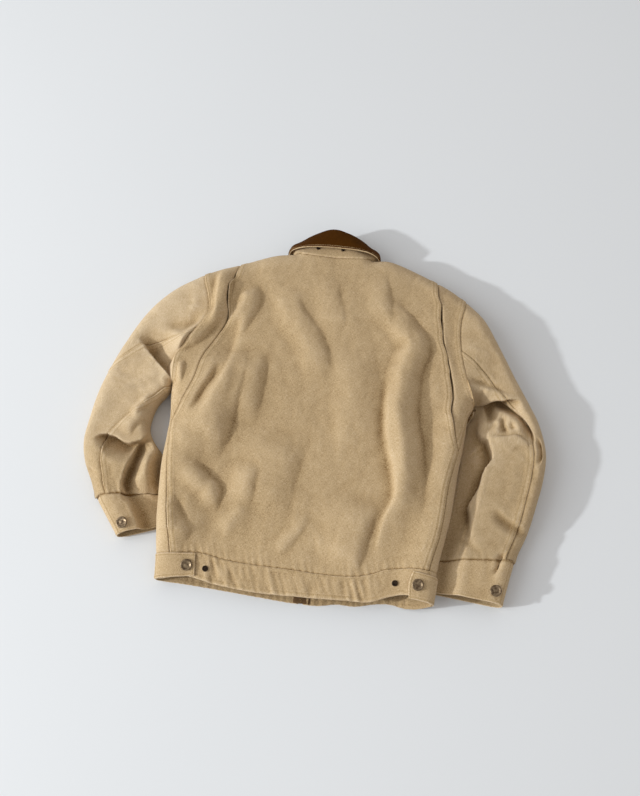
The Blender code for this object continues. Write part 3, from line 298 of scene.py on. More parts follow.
LEFT_SLEEVE = Table(SLEEVE_COLUMNS, [
    (0, -250, 224, -272, -12, 54, 22, 0), (1, -302, 184, -275, -23, 52, 21, 0),
    (2, -346, 128, -281, -33, 50, 21, 0), (3, -375, 62, -288, -43, 48, 20, 0),
    (4, -392, 12, -294, -56, 46, 20, 0), (5, -405, -41, -298, -76, 45, 20, 0),
    (6, -411, -100, -298, -100, 46, 20, 0), (7, -412, -140, -287, -123, 45, 20, 0.6),
    (8, -402, -177, -262, -149, 44, 19, 1), (9, -385, -209, -238, -178, 42, 18, 1),
    (10, -369, -239, -225, -207, 38, 16, 1), (11, -321, -303, -205, -258, 31, 14, 1),
])
RIGHT_SLEEVE = Table(SLEEVE_COLUMNS, [
    (0, 252, 226, 281, 8, 56, 22, 0), (1, 290, 190, 280, -5, 56, 22, 0.5),
    (2, 325, 130, 272, -19, 52, 22, 0.9), (3, 352, 80, 268, -36, 50, 22, 1),
    (4, 380, 30, 265, -55, 50, 22, 1), (5, 403, -14, 264, -77, 48, 21, 1),
    (6, 416, -62, 262, -102, 47, 20, 1), (7, 414, -110, 257, -134, 45, 20, 1),
    (8, 404, -160, 250, -170, 44, 19, 1), (9, 391, -214, 243, -214, 42, 18, 1),
    (10, 371, -270, 235, -279, 38, 16, 1), (11, 355, -346, 226, -334, 31, 14, 1),
])
LEFT_SEAMS = Table("station back under", [
    (0, 0.55, 1.0), (1, 0.50, 0.985), (2, 0.36, 0.96), (3, 0.20, 0.94), (4, 0.03, 0.90),
    (5, -0.08, 0.78), (6, -0.14, 0.54), (7, -0.16, 0.34), (8, -0.16, 0.22), (9, -0.16, 0.16),
    (10, -0.16, 0.13), (11, -0.16, 0.13),
])
RIGHT_SEAMS = Table("station back under", [
    (0, 0.52, 1.0), (1, 0.49, 1.0), (2, 0.42, 1.0), (3, 0.36, 1.0), (4, 0.25, 1.0),
    (5, 0.19, 1.0), (6, 0.17, 1.0), (7, 0.16, 1.0), (8, 0.15, 1.0), (9, 0.14, 1.0),
    (10, 0.14, 1.0), (11, 0.14, 1.0),
])
COLLAR = Table("station crest_x crest_y crest_z gap leaf_up leaf_out", [
    (0, -9, 246, 6.0, 1.9, -7, 1.9), (1, -27, 250, 6.0, 1.9, -7, 1.9),
    (2, -48, 262, 6.0, 1.9, -4, 1.9), (3, -73, 289, 11, 3.2, 6, 3.6),
    (4, -89, 298, 27, 3.2, 9, 7.0), (5, -76, 312, 33, 3.2, 10, 6.5),
    (6, -58, 325, 37, 3.2, 13, 6.0), (7, -42, 334, 40, 3.2, 16, 5.5),
    (8, -25, 342, 42, 3.2, 18, 5.0), (9, -8, 344, 43, 3.2, 19, 5.0),
    (10, 10, 340, 42, 3.2, 18, 5.0), (11, 27, 334, 41, 3.2, 17, 5.0),
    (12, 44, 326, 37, 3.2, 15, 5.5), (13, 60, 315, 33, 3.2, 12, 6.5),
    (14, 74, 300, 28, 3.2, 9, 7.0), (15, 58, 287, 12, 3.2, 6, 3.6),
    (16, 33, 262, 6.0, 1.9, -4, 1.9), (17, 14, 250, 6.0, 1.9, -7, 1.9),
    (18, -1, 246, 6.0, 1.9, -7, 1.9),
])


# --- creases


ROUTE_STEPS = 24
RUN_OUT = 0.34


class Profile(Enum):
    """Section of a crease: a rounded ridge or trough, or a fold with a sharp foot."""

    RIDGE = "ridge"
    FOLD = "fold"


@dataclass(frozen=True)
class Crease:
    """One crease of the cloth along a smooth route.

    height is that of the crest.  A ridge reaches left and right of its route.  A fold rises
    at once to the left of its route, to its crest at the distance left, and has died out
    after another length of right.  A height below 0 turns either into a hollow.  lean is how
    far the crest hangs over the foot, or the hollow runs in below its edge.  route is its
    plan places, as x,y.
    """

    height: float
    left: float
    right: float
    route: str
    profile: Profile = Profile.RIDGE
    lean: float = 0.0

    def line(self) -> Array:
        """Even points along the route."""
        return spline(line_of(self.route), even(ROUTE_STEPS))

    def section(self, plan: Array) -> Pair:
        """Share of the crease's full size at plan places, and the share of its route.

        Args:
            plan: plan places.

        Returns:
            Both shares, for each place.
        """
        distance, along = nearest(plan, self.line())
        ends = ease(along / RUN_OUT) * ease((1 - along) / RUN_OUT)
        if self.profile is Profile.RIDGE:
            reach = np.abs(distance) / np.where(distance > 0, self.left, self.right)
            return ends * np.exp(-(reach ** 1.8)), along
        rise = 1 - (1 - np.clip(distance / self.left, 0.0, 1.0)) ** 2.2
        return ends * rise * (1 - ease((distance - self.left) / self.right)), along

    def relief(self, plan: Array) -> Array:
        """Height that the crease adds at plan places."""
        return self.height * self.section(plan)[0]

    def shift(self, plan: Array) -> Array:
        """How far plan places move towards the foot, where the crease leans over it."""
        share, along = self.section(plan)
        steps = np.arange(ROUTE_STEPS + 1)
        way = np.gradient(self.line(), axis=0).T
        way = unit(np.stack([np.interp(along * ROUTE_STEPS, steps, part) for part in way], -1))
        return self.lean * share[..., None] * np.stack([way[..., 1], -way[..., 0]], -1)


@dataclass(frozen=True)
class Crumple:
    """Slight all-over unevenness: soft hills of one height and size."""

    height: float
    size: tuple[float, float]
    seed: int

    def relief(self, plan: Array) -> Array:
        """Height of the hills at plan places, with pinched valleys between them."""
        bend = np.stack([noise(plan, (90.0, 90.0), self.seed + more) for more in (5, 9)], -1)
        return self.height * noise(plan + bend * 22.0, self.size, self.seed)


def relief(plan: Array, creases: Sequence[Crease | Crumple]) -> Array:
    """Height that all creases of a piece add at plan places."""
    return sum((crease.relief(plan) for crease in creases), np.zeros(plan.shape[:-1]))


def lean(plan: Array, creases: Sequence[Crease | Crumple]) -> Array:
    """How far plan places move because creases lean over."""
    leaning = [crease for crease in creases if getattr(crease, "lean", 0.0)]
    return sum((crease.shift(plan) for crease in leaning), np.zeros(plan.shape))


def sleeve_crumples(seed: int) -> list[Crumple]:
    """Unevenness of a sleeve, in three sizes."""
    return [Crumple(1.2, (45.0, 45.0), seed), Crumple(0.8, (21.0, 24.0), seed + 4),
            Crumple(0.4, (11.0, 12.0), seed + 8)]


FOLD = Profile.FOLD
BACK_CREASES: list[Crease | Crumple] = [
    Crease(17.6, 35, 33, "184,-275 196,-245 202,-218 205,-195 204,-150 199,-115 194,-85 188,-58 "
           "181,-35 180,0 181,30 180,50 185,68 191,85 193,108 188,128 174,146 146,178 112,208 "
           "80,228", FOLD),
    Crease(8.2, 30, 40, "26,4 19,40 10,70 -1,98 -15,122 -32,142 -48,160 -56,182 -61,220", FOLD),
    Crease(10.4, 28, 18, "-160,80 -148,110 -136,140 -131,165 -133,186 -142,203 -158,216", FOLD),
    Crease(20.2, 47, 66, "-174,-185 -160,-150 -149,-118 -144,-80 -141,-35 -138,5 -138,40 "
           "-142,80", FOLD),
    Crease(12.5, 21, 30, "-155,-262 -146,-235 -146,-214 -152,-200 -168,-188 -186,-173 "
           "-207,-155", FOLD),
    Crease(15.0, 41, 15, "-204,-332 -192,-304 -188,-290 -195,-276 -207,-260 -218,-242 "
           "-226,-218", FOLD),
    Crease(6.9, 18, 40, "-96,-245 -89,-210 -89,-190 -84,-155", FOLD),
    Crease(6.2, 20, 13, "-138,-292 -118,-258 -100,-225"),
    Crease(8.0, 45, 81, "-32,-262 -22,-200 -16,-150 -10,-90", FOLD),
    Crease(8.6, 20, 99, "98,-340 110,-305 116,-270 122,-240 134,-205", FOLD),
    Crease(3.5, 10, 22, "-42,-322 -12,-292 2,-270 16,-238", FOLD),
    Crease(4.4, 20, 34, "116,140 115,185 107,225 94,268", FOLD),
    Crease(4.0, 21, 40, "24,110 31,145 27,165 14,205 9,248", FOLD),
    Crease(10.4, 34, 27, "-107,-90 -103,-45 -100,0 -101,35 -110,75", FOLD),
    Crease(7.5, 55, 42, "122,-140 115,-60 113,0 100,60 84,120", FOLD),
    Crease(11.6, 29, 6, "124,60 125,-40 132,-90 150,-150 155,-190 140,-230 134,-315"),
    Crease(-5.9, 8, 33, "-166,170 -172,90 -176,50 -181,20 -195,-20 -210,-80"),
    Crease(-10.4, 12, 7, "-186,40 -195,0 -208,-30 -226,-85"),
    Crease(15.5, 24, 14, "-206,84 -192,106 -186,130 -189,160 -189,200 -186,246", FOLD),
    Crease(5.2, 8, 8, "-250,-22 -250,5 -251,32", FOLD),
    Crease(12.0, 16, 28, "-276,38 -262,48 -240,60 -214,92 -196,124 -186,150", FOLD),
    Crumple(1.1, (60.0, 95.0), 3),
    Crumple(0.7, (26.0, 40.0), 11),
    Crumple(0.45, (12.0, 16.0), 21),
]
LEFT_CREASES: list[Crease | Crumple] = [
    Crease(-29.0, 15, 46, "-356,72 -338,58 -318,38 -294,14 -274,-6 -250,-28", FOLD, 9.0),
    Crease(-5.5, 13, 13, "-316,92 -286,100 -256,106 -222,122"),
    Crease(13.0, 16, 30, "-290,22 -276,38 -262,48 -240,60 -214,92 -196,124", FOLD, 3.0),
    Crease(-2.5, 12, 9, "-392,4 -360,-2 -322,-10"),
    Crease(-25.0, 9, 32, "-288,-116 -300,-128 -312,-134 -326,-139 -340,-137 -354,-130 -374,-127 "
           "-396,-138", FOLD, 12.0),
    Crease(-24.0, 12, 22, "-286,-96 -302,-124 -312,-150 -321,-175 -326,-200 -325,-225 "
           "-316,-256", FOLD, 6.0),
    Crease(7.0, 14, 20, "-262,-232 -276,-200 -286,-168 -290,-140"),
    Crease(-21.0, 24, 60, "-330,-210 -312,-240 -292,-274 -268,-322", FOLD),
    Crease(8.0, 11, 24, "-326,-128 -320,-108 -310,-96 -292,-84", FOLD),
    Crease(6.0, 8, 16, "-322,-96 -314,-74 -304,-60 -290,-46", FOLD),
    Crease(-6.5, 5, 9, "-370,-200 -384,-192 -400,-182 -416,-150", FOLD, 2.0),
    Crease(2.0, 5, 5, "-276,196 -240,182"),
    Crease(3.0, 6, 16, "-264,146 -248,152 -238,168", FOLD),
    Crease(3.5, 6, 12, "-262,128 -250,136 -240,148", FOLD),
    *sleeve_crumples(33),
]
RIGHT_CREASES: list[Crease | Crumple] = [
    Crease(-34.0, 9, 34, "366,27 346,24 330,21 308,19 286,17 262,15", FOLD, 20.0),
    Crease(4.0, 9, 26, "306,24 334,17 352,9 366,-3 380,-18 394,-42", FOLD),
    Crease(-17.0, 6, 13, "396,-58 389,-36 376,-16 360,0 344,11 322,20 298,22", FOLD, 9.0),
    Crease(-32.0, 9, 54, "300,-262 291,-226 288,-196 283,-176 292,-160 300,-138 306,-110 319,-88 "
           "314,-70 310,-58 295,-46 292,-24 300,8", FOLD, 7.0),
    Crease(6.0, 9, 10, "272,36 292,36 318,36 346,32"),
    Crease(-6.0, 4, 4, "288,16 291,28 297,40"),
    Crease(5.5, 6, 8, "314,-2 338,-6 356,-14 362,-28 352,-40"),
    Crease(-9.0, 6, 7, "336,-4 334,-20 344,-42"),
    Crease(5.0, 5, 5, "304,-34 318,-18 334,-22"),
    Crease(-5.0, 4, 4, "346,-16 354,-32"),
    Crease(6.0, 8, 30, "384,-74 378,-52 364,-42 336,-46 300,-47", FOLD, 2.0),
    Crease(-6.5, 8, 20, "400,-222 380,-210 352,-196 326,-172", FOLD),
    Crease(-3.0, 6, 12, "322,-268 288,-242 252,-226", FOLD),
    Crease(4.0, 10, 12, "399,-30 404,-60 402,-110 396,-160 386,-210"),
    Crease(-14.0, 10, 16, "262,22 284,12 300,2 304,-16 292,-40", FOLD),
    Crease(-9.0, 4, 8, "403,-98 407,-74 405,-56 398,-36", FOLD, 3.0),
    Crease(-4.0, 7, 7, "258,58 285,52 302,49 322,43 346,30"),
    Crease(-8.0, 5, 9, "337,-304 345,-288 349,-272 355,-254", FOLD, 2.0),
    *sleeve_crumples(53),
]


# --- surfaces


@dataclass
class Pillow:
    """A flattened tube of cloth; its rounded closed edges are lines with the cloth on the left."""

    edges: list[Array]

    def inside(self, plan: Array) -> Array:
        """How far plan places lie inside the nearest closed edge."""
        return np.min([nearest(plan, edge)[0] for edge in self.edges], axis=0)

    def surface(self, plan: Array, upper: Array | bool, *where: Array) -> Array:
        """Outer points over plan places.

        Args:
            plan: plan places.
            upper: whether a place is on the upper wall.
            where: what else the levels depend on.

        Returns:
            Outer points of the cloth.
        """
        crown, equator, floor, roll = self.levels(plan, *where)
        share = np.clip(self.inside(plan) / roll, 0.0, 1.0)
        full = (1 - (1 - share) ** ROUND) ** (1 / ROUND)
        height = np.where(upper, equator + (crown - equator) * full,
                          equator - (equator - floor) * full)
        plan = plan + self.leaning(plan, *where) * np.where(upper, full, 0.0)[..., None]
        return np.concatenate([plan, height[..., None]], -1)


class Torso(Pillow):
    """Front and back of the body, from shoulders to hem."""

    def levels(self, plan: Array) -> tuple[Array, Array, Array, Array]:
        """Heights of crown, widest line and floor side, and the reach of the edges."""
        y = plan[..., 1]
        raised = self.raised(plan)
        crown = BODY.at("crown", y) + 0.7 * raised + relief(plan, BACK_CREASES)
        equator = BODY.at("equator", y) + 0.85 * raised
        return crown, equator, raised, np.full(y.shape, TORSO_ROLL)

    def leaning(self, plan: Array) -> Array:
        """How far the upper wall's places move because creases lean over."""
        return lean(plan, BACK_CREASES)

    def raised(self, plan: Array) -> Array:
        """How far the front is held up by what lies below it."""
        heights = []
        for height, full, fade, route in RAISED:
            distance = np.abs(nearest(plan, spline(route, even(12)))[0])
            heights.append(height * ease((fade - distance) / (fade - full)))
        return np.max(heights, axis=0)


@dataclass
class Sleeve(Pillow):
    """One sleeve, from the armhole to the cuff's lower edge.

    Its inner part is tucked below the body's side, and has come up again at a distance fade.
    """

    torso: Torso
    body_side: Array
    table: Table
    armhole: Array
    creases: list[Crease | Crumple]
    fade: float

    def __post_init__(self) -> None:
        """Draw the armhole's seam on the back of the body."""
        self.seam = spline(self.armhole, even(SEAM_STEPS))

    def plan(self, station: Array, across: Array) -> Array:
        """Plan places at a station, a share of the way from the outer to the inner edge.

        Args:
            station: station of each place.
            across: its share of the way.

        Returns:
            The plan places.
        """
        outer, inner = self.table.spot("out", station), self.table.spot("in", station)
        straight = outer + (inner - outer) * across[..., None]
        steps = np.arange(SEAM_STEPS + 1)
        curve = np.stack([np.interp(across * SEAM_STEPS, steps, line) for line in self.seam.T],
                         -1)
        chord = self.seam[0] + (self.seam[-1] - self.seam[0]) * across[..., None]
        return straight + (curve - chord) * (1 - ease(station / 3.0))[..., None]

    def levels(self, plan: Array, station: Array) -> tuple[Array, ...]:
        """Heights of crown, widest line and floor side, and the reach of the edges.

        Args:
            plan: plan places.
            station: their stations.

        Returns:
            The three heights and the reach.
        """
        near = 1 - ease(station / 2.5)
        body = self.torso.levels(plan)
        past = nearest(plan, self.body_side)[0]
        pressed = (1 - near) * self.table.at("tuck", station)
        pressed *= 1 - ease((-past - TUCK_CLEAR) / self.fade)
        pressed *= 1 - ease((plan[..., 1] - PIT) / 26.0)
        own = (self.table.at("crown", station), self.table.at("equator", station),
               0.0 * station, SLEEVE_ROLL - 7.0 * ease((9.5 - station) / 1.5))
        flat = (TUCKED, TUCKED / 2, 0.0, TUCKED_ROLL)
        crown, *others = (near * b + (1 - near - pressed) * o + pressed * f
                          for b, o, f in zip(body, own, flat))
        crown = crown + relief(plan, self.creases) * ease(station / 0.7) * (1 - pressed)
        return LOW + SOFT * np.logaddexp(0.0, (crown - LOW) / SOFT), *others

    def leaning(self, plan: Array, station: Array) -> Array:
        """How far the upper wall's places move because creases lean over."""
        near = (1 - ease(station / 2.5))[..., None]
        own = ease(station / 0.7)[..., None] * lean(plan, self.creases)
        return near * self.torso.leaning(plan) + own

    def ring(self, station: Array, turn: Array) -> Array:
        """Outer points; turn runs 0 to 1 over the top to the inner edge and back below.

        Args:
            station: station of each point.
            turn: its turn.

        Returns:
            The points.
        """
        turn = turn % 1.0
        across = (1 - np.cos(2 * np.pi * turn)) / 2
        plan = self.plan(station, across)
        points = self.surface(plan, turn <= 0.5, station)
        on_seam = (station <= 0.0)[..., None]
        return np.where(on_seam, self.torso.surface(plan, turn <= 0.5), points)

    def middle(self, station: Array) -> Array:
        """Middle of the tube at each station."""
        plan = self.plan(station, np.full(station.shape, 0.5))
        return np.concatenate([plan, np.full(station.shape + (1,), SLEEVE_MIDDLE)], -1)


def turn_of(across: Array | float) -> Array:
    """Turn round a sleeve for a share across it, on the underside when outside 0 to 1."""
    across = np.asarray(across, float)
    top, before, after = (np.arccos(1 - 2 * np.clip(share, 0.0, 1.0)) / (2 * np.pi)
                          for share in (across, -across, 2 - across))
    return np.where(across < 0, -before, np.where(across > 1, 1 - after, top))


def patch(bottom: Array, top: Array, left: Array, right: Array, u: Array, v: Array) -> Array:
    """Plan grid between four border lines.

    Args:
        bottom, top: borders from left to right.
        left, right: borders from bottom to top.
        u: share across, for each row and column.
        v: share up, for each row, as one column.

    Returns:
        Plan places for each row and column.
    """
    low, high = resample(bottom, u), resample(top, u)
    start, end = resample(left, v), resample(right, v)
    u, v = u[..., None], v[..., None]
    across = (1 - v) * low + v * high
    along = (1 - u) * start + u * end
    corners = ((1 - u) * (1 - v) * bottom[0] + u * (1 - v) * bottom[-1]
               + (1 - u) * v * top[0] + u * v * top[-1])
    return across + along - corners


# --- grids of cloth

FINE = np.array([0.0, 0.7, 1.6, 2.6, 4.0, 6.2, 8.2, 9.4, 10.6, 13.0])
COARSE = np.array([0.0, 1.2, 3.0])


def shares(widths: Array, pitch: float, start: Array, end: Array) -> Array:
    """Shares across rows of cloth, close together at both edges.

    Args:
        widths: each row's width.
        pitch: distance between columns in the middle.
        start, end: distances of the first columns from each edge.

    Returns:
        A share for each row and column.
    """
    widths = np.asarray(widths, float).reshape(-1, 1)
    count = max(2, int(round((widths.max() - start[-1] - end[-1]) / pitch)))
    first, last = start[-1] / widths, 1 - end[-1] / widths
    middle = first + (last - first) * even(count)[1:-1]
    return np.concatenate([start / widths, middle, 1 - end[::-1] / widths], 1)


def close(count: int) -> Array:
    """Shares along a roll of cloth, close together at its seam."""
    return np.concatenate([FINE[:7] / ROLL_LENGTH, even(count)[3:]])


@dataclass(frozen=True)
class EdgeFinish:
    """How one edge of a piece of cloth is sewn.

    lift: height of the turned-in layers.  width: how far they reach in.  rows: distances of
    the stitch rows from the edge.  bulge: how far the cloth blouses out beside it.  over: how
    far that hangs over the edge.  sink: how far the edge drops below its neighbour, over
    reach.  slip: how far it runs on under the neighbour.  pucker and pitch: height and
    spacing of the ripples, which die out over fade.
    """

    lift: float = 0.0
    width: float = 10.5
    rows: tuple[float, ...] = ()
    bulge: float = 0.0
    over: float = 0.0
    sink: float = 0.0
    reach: float = 6.0
    slip: float = 0.0
    pucker: float = 0.0
    pitch: float = 9.0
    fade: float = 9.0

    def relief(self, distance: Array, along: Array, seed: int) -> Array:
        """Height of the sewn edge along the cloth's own outward direction.

        Args:
            distance: distance from the edge.
            along: run along the edge.
            seed: which set of ripples.

        Returns:
            The height at each point.
        """
        height = self.lift * (1 - ease((distance - self.width) / 3.0))
        height -= self.lift * 0.7 * np.clip(1 - distance / 1.3, 0, 1) ** 2
        height -= self.sink * (1 - ease(distance / self.reach))
        height += self.bulge * self.blouse(distance, along, seed)
        for row in self.rows:
            height -= 0.4 * np.exp(-(((distance - row) / 1.1) ** 2))
        if self.pucker:
            phase = along / self.pitch + 0.55 * wander(along, self.pitch * 2.6, seed)
            uneven = 0.65 + 0.5 * wander(along, self.pitch * 3.4, seed + 3)
            ripple = self.pucker * uneven * np.sin(2 * np.pi * phase)
            height += ripple * np.exp(-((distance / self.fade) ** 1.5))
        return height

    def blouse(self, distance: Array, along: Array, seed: int) -> Array:
        """Uneven share of the bulge beside the edge."""
        uneven = 0.85 + 0.9 * wander(along, 34.0, seed + 17)
        return uneven * np.exp(-(((distance - 7.0) / 6.0) ** 2))

    def wear_and_shade(self, distance: Array, along: Array, seed: int) -> Array:
        """How pale (above 0) or dark (below 0) the sewn edge is coloured: paler where it is
        rubbed, with painted shade in the crevice where it slips under its neighbour and along its
        stitch rows.

        Args:
            distance: distance from the edge.
            along: run along the edge.
            seed: which set of changes.

        Returns:
            The wear at each point.
        """
        # An edge that slips under its neighbour gets a dark line painted in for the shade of that
        # crevice.
        if self.slip:
            return -0.8 * np.exp(-((distance / 2.2) ** 2))
        if not (self.lift or self.rows):
            return np.zeros(distance.shape)
        worn_and_shaded = (0.38 + 0.22 * wander(along, 9.0, seed + 7)) * np.exp(-((distance / 1.4) ** 2))
        # Painted shade along the groove of each stitch row.
        for row in self.rows:
            worn_and_shaded -= 0.5 * np.exp(-(((distance - row) / 1.1) ** 2))
        between = ease(distance / 2.0) * (1 - ease((distance - self.width) / 2.5))
        return worn_and_shaded + 0.1 * between * (1 + wander(along, 14.0, seed + 5))


PLAIN = EdgeFinish()
LAPPED = EdgeFinish(lift=0.9, rows=(1.8, 9.2), pucker=0.25, pitch=8.5)
UNDER = EdgeFinish(sink=3.0, reach=5.0, slip=3.0)
BLOUSED = EdgeFinish(bulge=6.5, over=9.0, sink=1.2, slip=1.2, pucker=0.9, pitch=13.0, fade=14.0)
SEATED = EdgeFinish(bulge=2.0, over=3.0, sink=0.8, slip=1.2, pucker=0.8, pitch=13.0, fade=14.0)
GROOVE = EdgeFinish(sink=3.4, reach=2.6, slip=0.3)
SUNK = EdgeFinish(sink=0.9, slip=1.4, pucker=0.25, pitch=9.0)
SHOULDER = EdgeFinish(sink=0.6, slip=1.0)
GATHERED = EdgeFinish(sink=0.8, slip=1.2, pucker=0.9, pitch=12.0, fade=16.0)
BAND_HEM = EdgeFinish(lift=0.9, width=3.0, rows=(2.0,), pucker=0.5, pitch=11.0, fade=10.0)
TAB_EDGE = EdgeFinish(lift=0.3, width=4.0, rows=(2.4,), pucker=0.15, pitch=7.0)
CUFF_HEM = EdgeFinish(lift=0.7, width=3.0, rows=(2.0,), pucker=0.25)
PLACKET = EdgeFinish(lift=0.4, width=4.0, rows=(2.4,))
HEMMED = EdgeFinish(lift=0.5, width=7.5, rows=(5.5,), pucker=0.2, pitch=8.0, fade=7.0)


@dataclass
class Cloth:
    """A piece of cloth as a grid of outer points, with what its mesh needs."""

    name: str
    outer: Array
    normals: Array
    grain: Array
    wall: float = CANVAS
    # Above 0 paler with wear, below 0 darker with painted shade in hollows, crevices and stitch
    # grooves.
    worn_and_shaded: Array | None = None
    stitch_rows: list[Pair] = field(default_factory=list)

    @classmethod
    def over(cls, name: str, outer: Array, away: Array, grain: Array | None = None,
             wall: float = CANVAS) -> "Cloth":
        """Make a piece from its outer points.

        Args:
            name: name of the piece.
            outer: grid of outer points.
            away: a point, or one for each outer point, that the outside faces away from.
            grain: grid of places on the flat cloth, if not read from the grid itself.
            wall: thickness of the cloth.

        Returns:
            The piece, with its outward directions.
        """
        normals = unit(np.cross(np.gradient(outer, axis=1), np.gradient(outer, axis=0)))
        if ((outer - away) * normals).sum() < 0:
            normals = -normals
        if grain is None:
            across, along = runs(outer)
            grain = np.stack([across - across[:, -1:] / 2, along], -1)
        return cls(name, outer, normals, grain, wall, np.zeros(outer.shape[:2]))

    def sew(self, bottom: EdgeFinish = PLAIN, top: EdgeFinish = PLAIN,
            left: EdgeFinish = PLAIN, right: EdgeFinish = PLAIN, seed: int = 1) -> "Cloth":
        """Shape the four edges as they are sewn, and note their rows of stitches.

        Args:
            bottom, top, left, right: finish of each edge.
            seed: which set of ripples.

        Returns:
            The same piece.
        """
        across, along = runs(self.outer)
        ends = [(bottom, along, across, 0), (top, along[-1:] - along, across, 0),
                (left, across, along, 1), (right, across[:, -1:] - across, along, 1)]
        height = np.zeros(self.outer.shape[:2])
        for number, (finish, distance, run, _) in enumerate(ends):
            height += finish.relief(distance, run, seed + 11 * number)
            # Wear on each edge, and painted shade in its crevice and stitch grooves.
            self.worn_and_shaded += finish.wear_and_shade(distance, run, seed + 11 * number)
        self.outer = self.outer + self.normals * height[..., None]
        self.settle()
        for finish, distance, _, axis in ends:
            for row in finish.rows:
                self.stitch_rows.append(line_at(self.outer, self.normals, distance, row, axis))
        for number, ((finish, distance, run, axis), (edge, next_one)) in enumerate(zip(
                ends, ((0, 1), (-1, -2), (0, 1), (-1, -2)))):
            grid = np.moveaxis(self.outer, axis, 0)
            away = unit(grid[edge] - grid[next_one])
            grid[edge] += away * finish.slip
            if finish.over:
                size = finish.over * finish.blouse(distance, run, seed + 11 * number)
                grid += away * np.moveaxis(size, axis, 0)[..., None]
        return self

    def settle(self) -> None:
        """Keep the cloth just above the floor, softly."""
        z = self.outer[..., 2]
        self.outer[..., 2] = np.where(z < 0.6, 0.2 + 0.4 * np.exp((z - 0.6) / 0.8), z)


def runs(outer: Array) -> Pair:
    """Run of length along a grid's rows and up its columns.

    Args:
        outer: rows and columns of points.

    Returns:
        Both runs, for each point.
    """
    found = []
    for axis in (1, 0):
        step = np.linalg.norm(np.diff(outer, axis=axis), axis=-1)
        start = np.zeros_like(np.take(step, [0], axis=axis))
        found.append(np.concatenate([start, np.cumsum(step, axis=axis)], axis=axis))
    return found[0], found[1]


def line_at(outer: Array, normals: Array, distance: Array, reach: float, axis: int) -> Pair:
    """Line on a grid at one distance from an edge.

    Args:
        outer: outer points.
        normals: outward directions.
        distance: distance of each point from the edge.
        reach: the distance wanted.
        axis: 0 where the edge is the first or last row, 1 where it is a column.

    Returns:
        The line's points and outward directions.
    """
    grid = np.moveaxis(np.concatenate([outer, normals, distance[..., None]], -1), axis, 0)
    if grid[0, 0, 6] > grid[-1, 0, 6]:
        grid = grid[::-1]
    line = np.array([[np.interp(reach, column[:, 6], column[:, k]) for k in range(6)]
                     for column in np.moveaxis(grid, 1, 0)])
    return line[:, :3], unit(line[:, 3:])


# --- meshes


def place(points: Array) -> Array:
    """Jacket millimetres to the model's metres."""
    return (np.asarray(points, float) - MIDDLE) * MM


def add_object(name: str, mesh: Mesh) -> Object:
    """Link a mesh as an object at the origin."""
    made = bpy.data.objects.new(name, mesh)
    bpy.context.scene.collection.objects.link(made)
    return made


def grid_faces(rows: int, columns: int, first: int, flip: bool) -> Array:
    """Four-sided faces of a grid of points that starts at a number."""
    index = np.arange(rows * columns).reshape(rows, columns) + first
    faces = np.stack([index[:-1, :-1], index[:-1, 1:], index[1:, 1:], index[1:, :-1]], -1)
    faces = faces.reshape(-1, 4)
    return faces[:, ::-1] if flip else faces


def border(rows: int, columns: int) -> Array:
    """Numbers of a grid's border points, in one turn."""
    index = np.arange(rows * columns).reshape(rows, columns)
    return np.concatenate([index[0, :-1], index[:-1, -1], index[-1, :0:-1], index[:0:-1, 0]])


def shell(cloth: Cloth, finishes: Sequence[Material], lining: int = 0) -> Object:
    """Mesh of a piece of cloth: outer face, inner face and a rolled rim.

    Args:
        cloth: the piece.
        finishes: its materials; the first is for the outer face.
        lining: number of the material for the inner face and the rim.

    Returns:
        The object, closed, with its grain as a UV map in metres and its wear and painted shade.
    """
    rows, columns = cloth.outer.shape[:2]
    count = rows * columns
    inner = cloth.outer - cloth.normals * cloth.wall
    ring = border(rows, columns)
    out = np.zeros_like(cloth.outer)
    for axis in (0, 1):
        for edge, next_one in ((0, 1), (-1, -2)):
            grid, target = np.moveaxis(cloth.outer, axis, 0), np.moveaxis(out, axis, 0)
            target[edge] += unit(grid[edge] - grid[next_one])
    rim = (cloth.outer + inner) / 2 + unit(out) * cloth.wall * 0.42
    points = np.concatenate([cloth.outer.reshape(-1, 3), inner.reshape(-1, 3),
                             rim.reshape(-1, 3)[ring]])
    points[:, 2] = np.maximum(points[:, 2], 0.1)
    after = np.roll(np.arange(len(ring)), -1)
    middle = 2 * count + np.arange(len(ring))
    strips = [np.stack([ring[after], ring, middle, middle[after]], -1),
              np.stack([middle[after], middle, ring + count, ring[after] + count], -1)]
    faces = np.concatenate([grid_faces(rows, columns, 0, False),
                            grid_faces(rows, columns, count, True), *strips])
    mesh = bpy.data.meshes.new(cloth.name)
    mesh.from_pydata(place(points).tolist(), [], faces.tolist())
    for finish in finishes:
        mesh.materials.append(finish)
    if lining:
        number = np.full(len(faces), lining, np.int32)
        number[:(rows - 1) * (columns - 1)] = 0
        mesh.polygons.foreach_set("material_index", number)
    grain = cloth.grain.reshape(-1, 2) * MM
    around = np.concatenate([grain, grain, grain[ring]])
    corners = np.zeros(len(mesh.loops), np.int32)
    mesh.loops.foreach_get("vertex_index", corners)
    mesh.uv_layers.new(name="grain").data.foreach_set(
        "uv", around[corners].astype(np.float32).ravel())
    # Wear and painted shade of each point: full on the outer face, weaker inside, a little paler
    # on the rim.
    worn_and_shaded = cloth.worn_and_shaded.ravel()
    attribute = mesh.attributes.new("wear_and_shade", "FLOAT", "POINT")
    attribute.data.foreach_set(
        "value", np.concatenate([worn_and_shaded, 0.3 * worn_and_shaded, worn_and_shaded[ring] + 0.1]).astype(np.float32))
    solid = bmesh.new()
    solid.from_mesh(mesh)
    if solid.calc_volume(signed=True) < 0:
        bmesh.ops.reverse_faces(solid, faces=solid.faces[:])
    solid.to_mesh(mesh)
    solid.free()
    mesh.shade_smooth()
    return add_object(cloth.name, mesh)


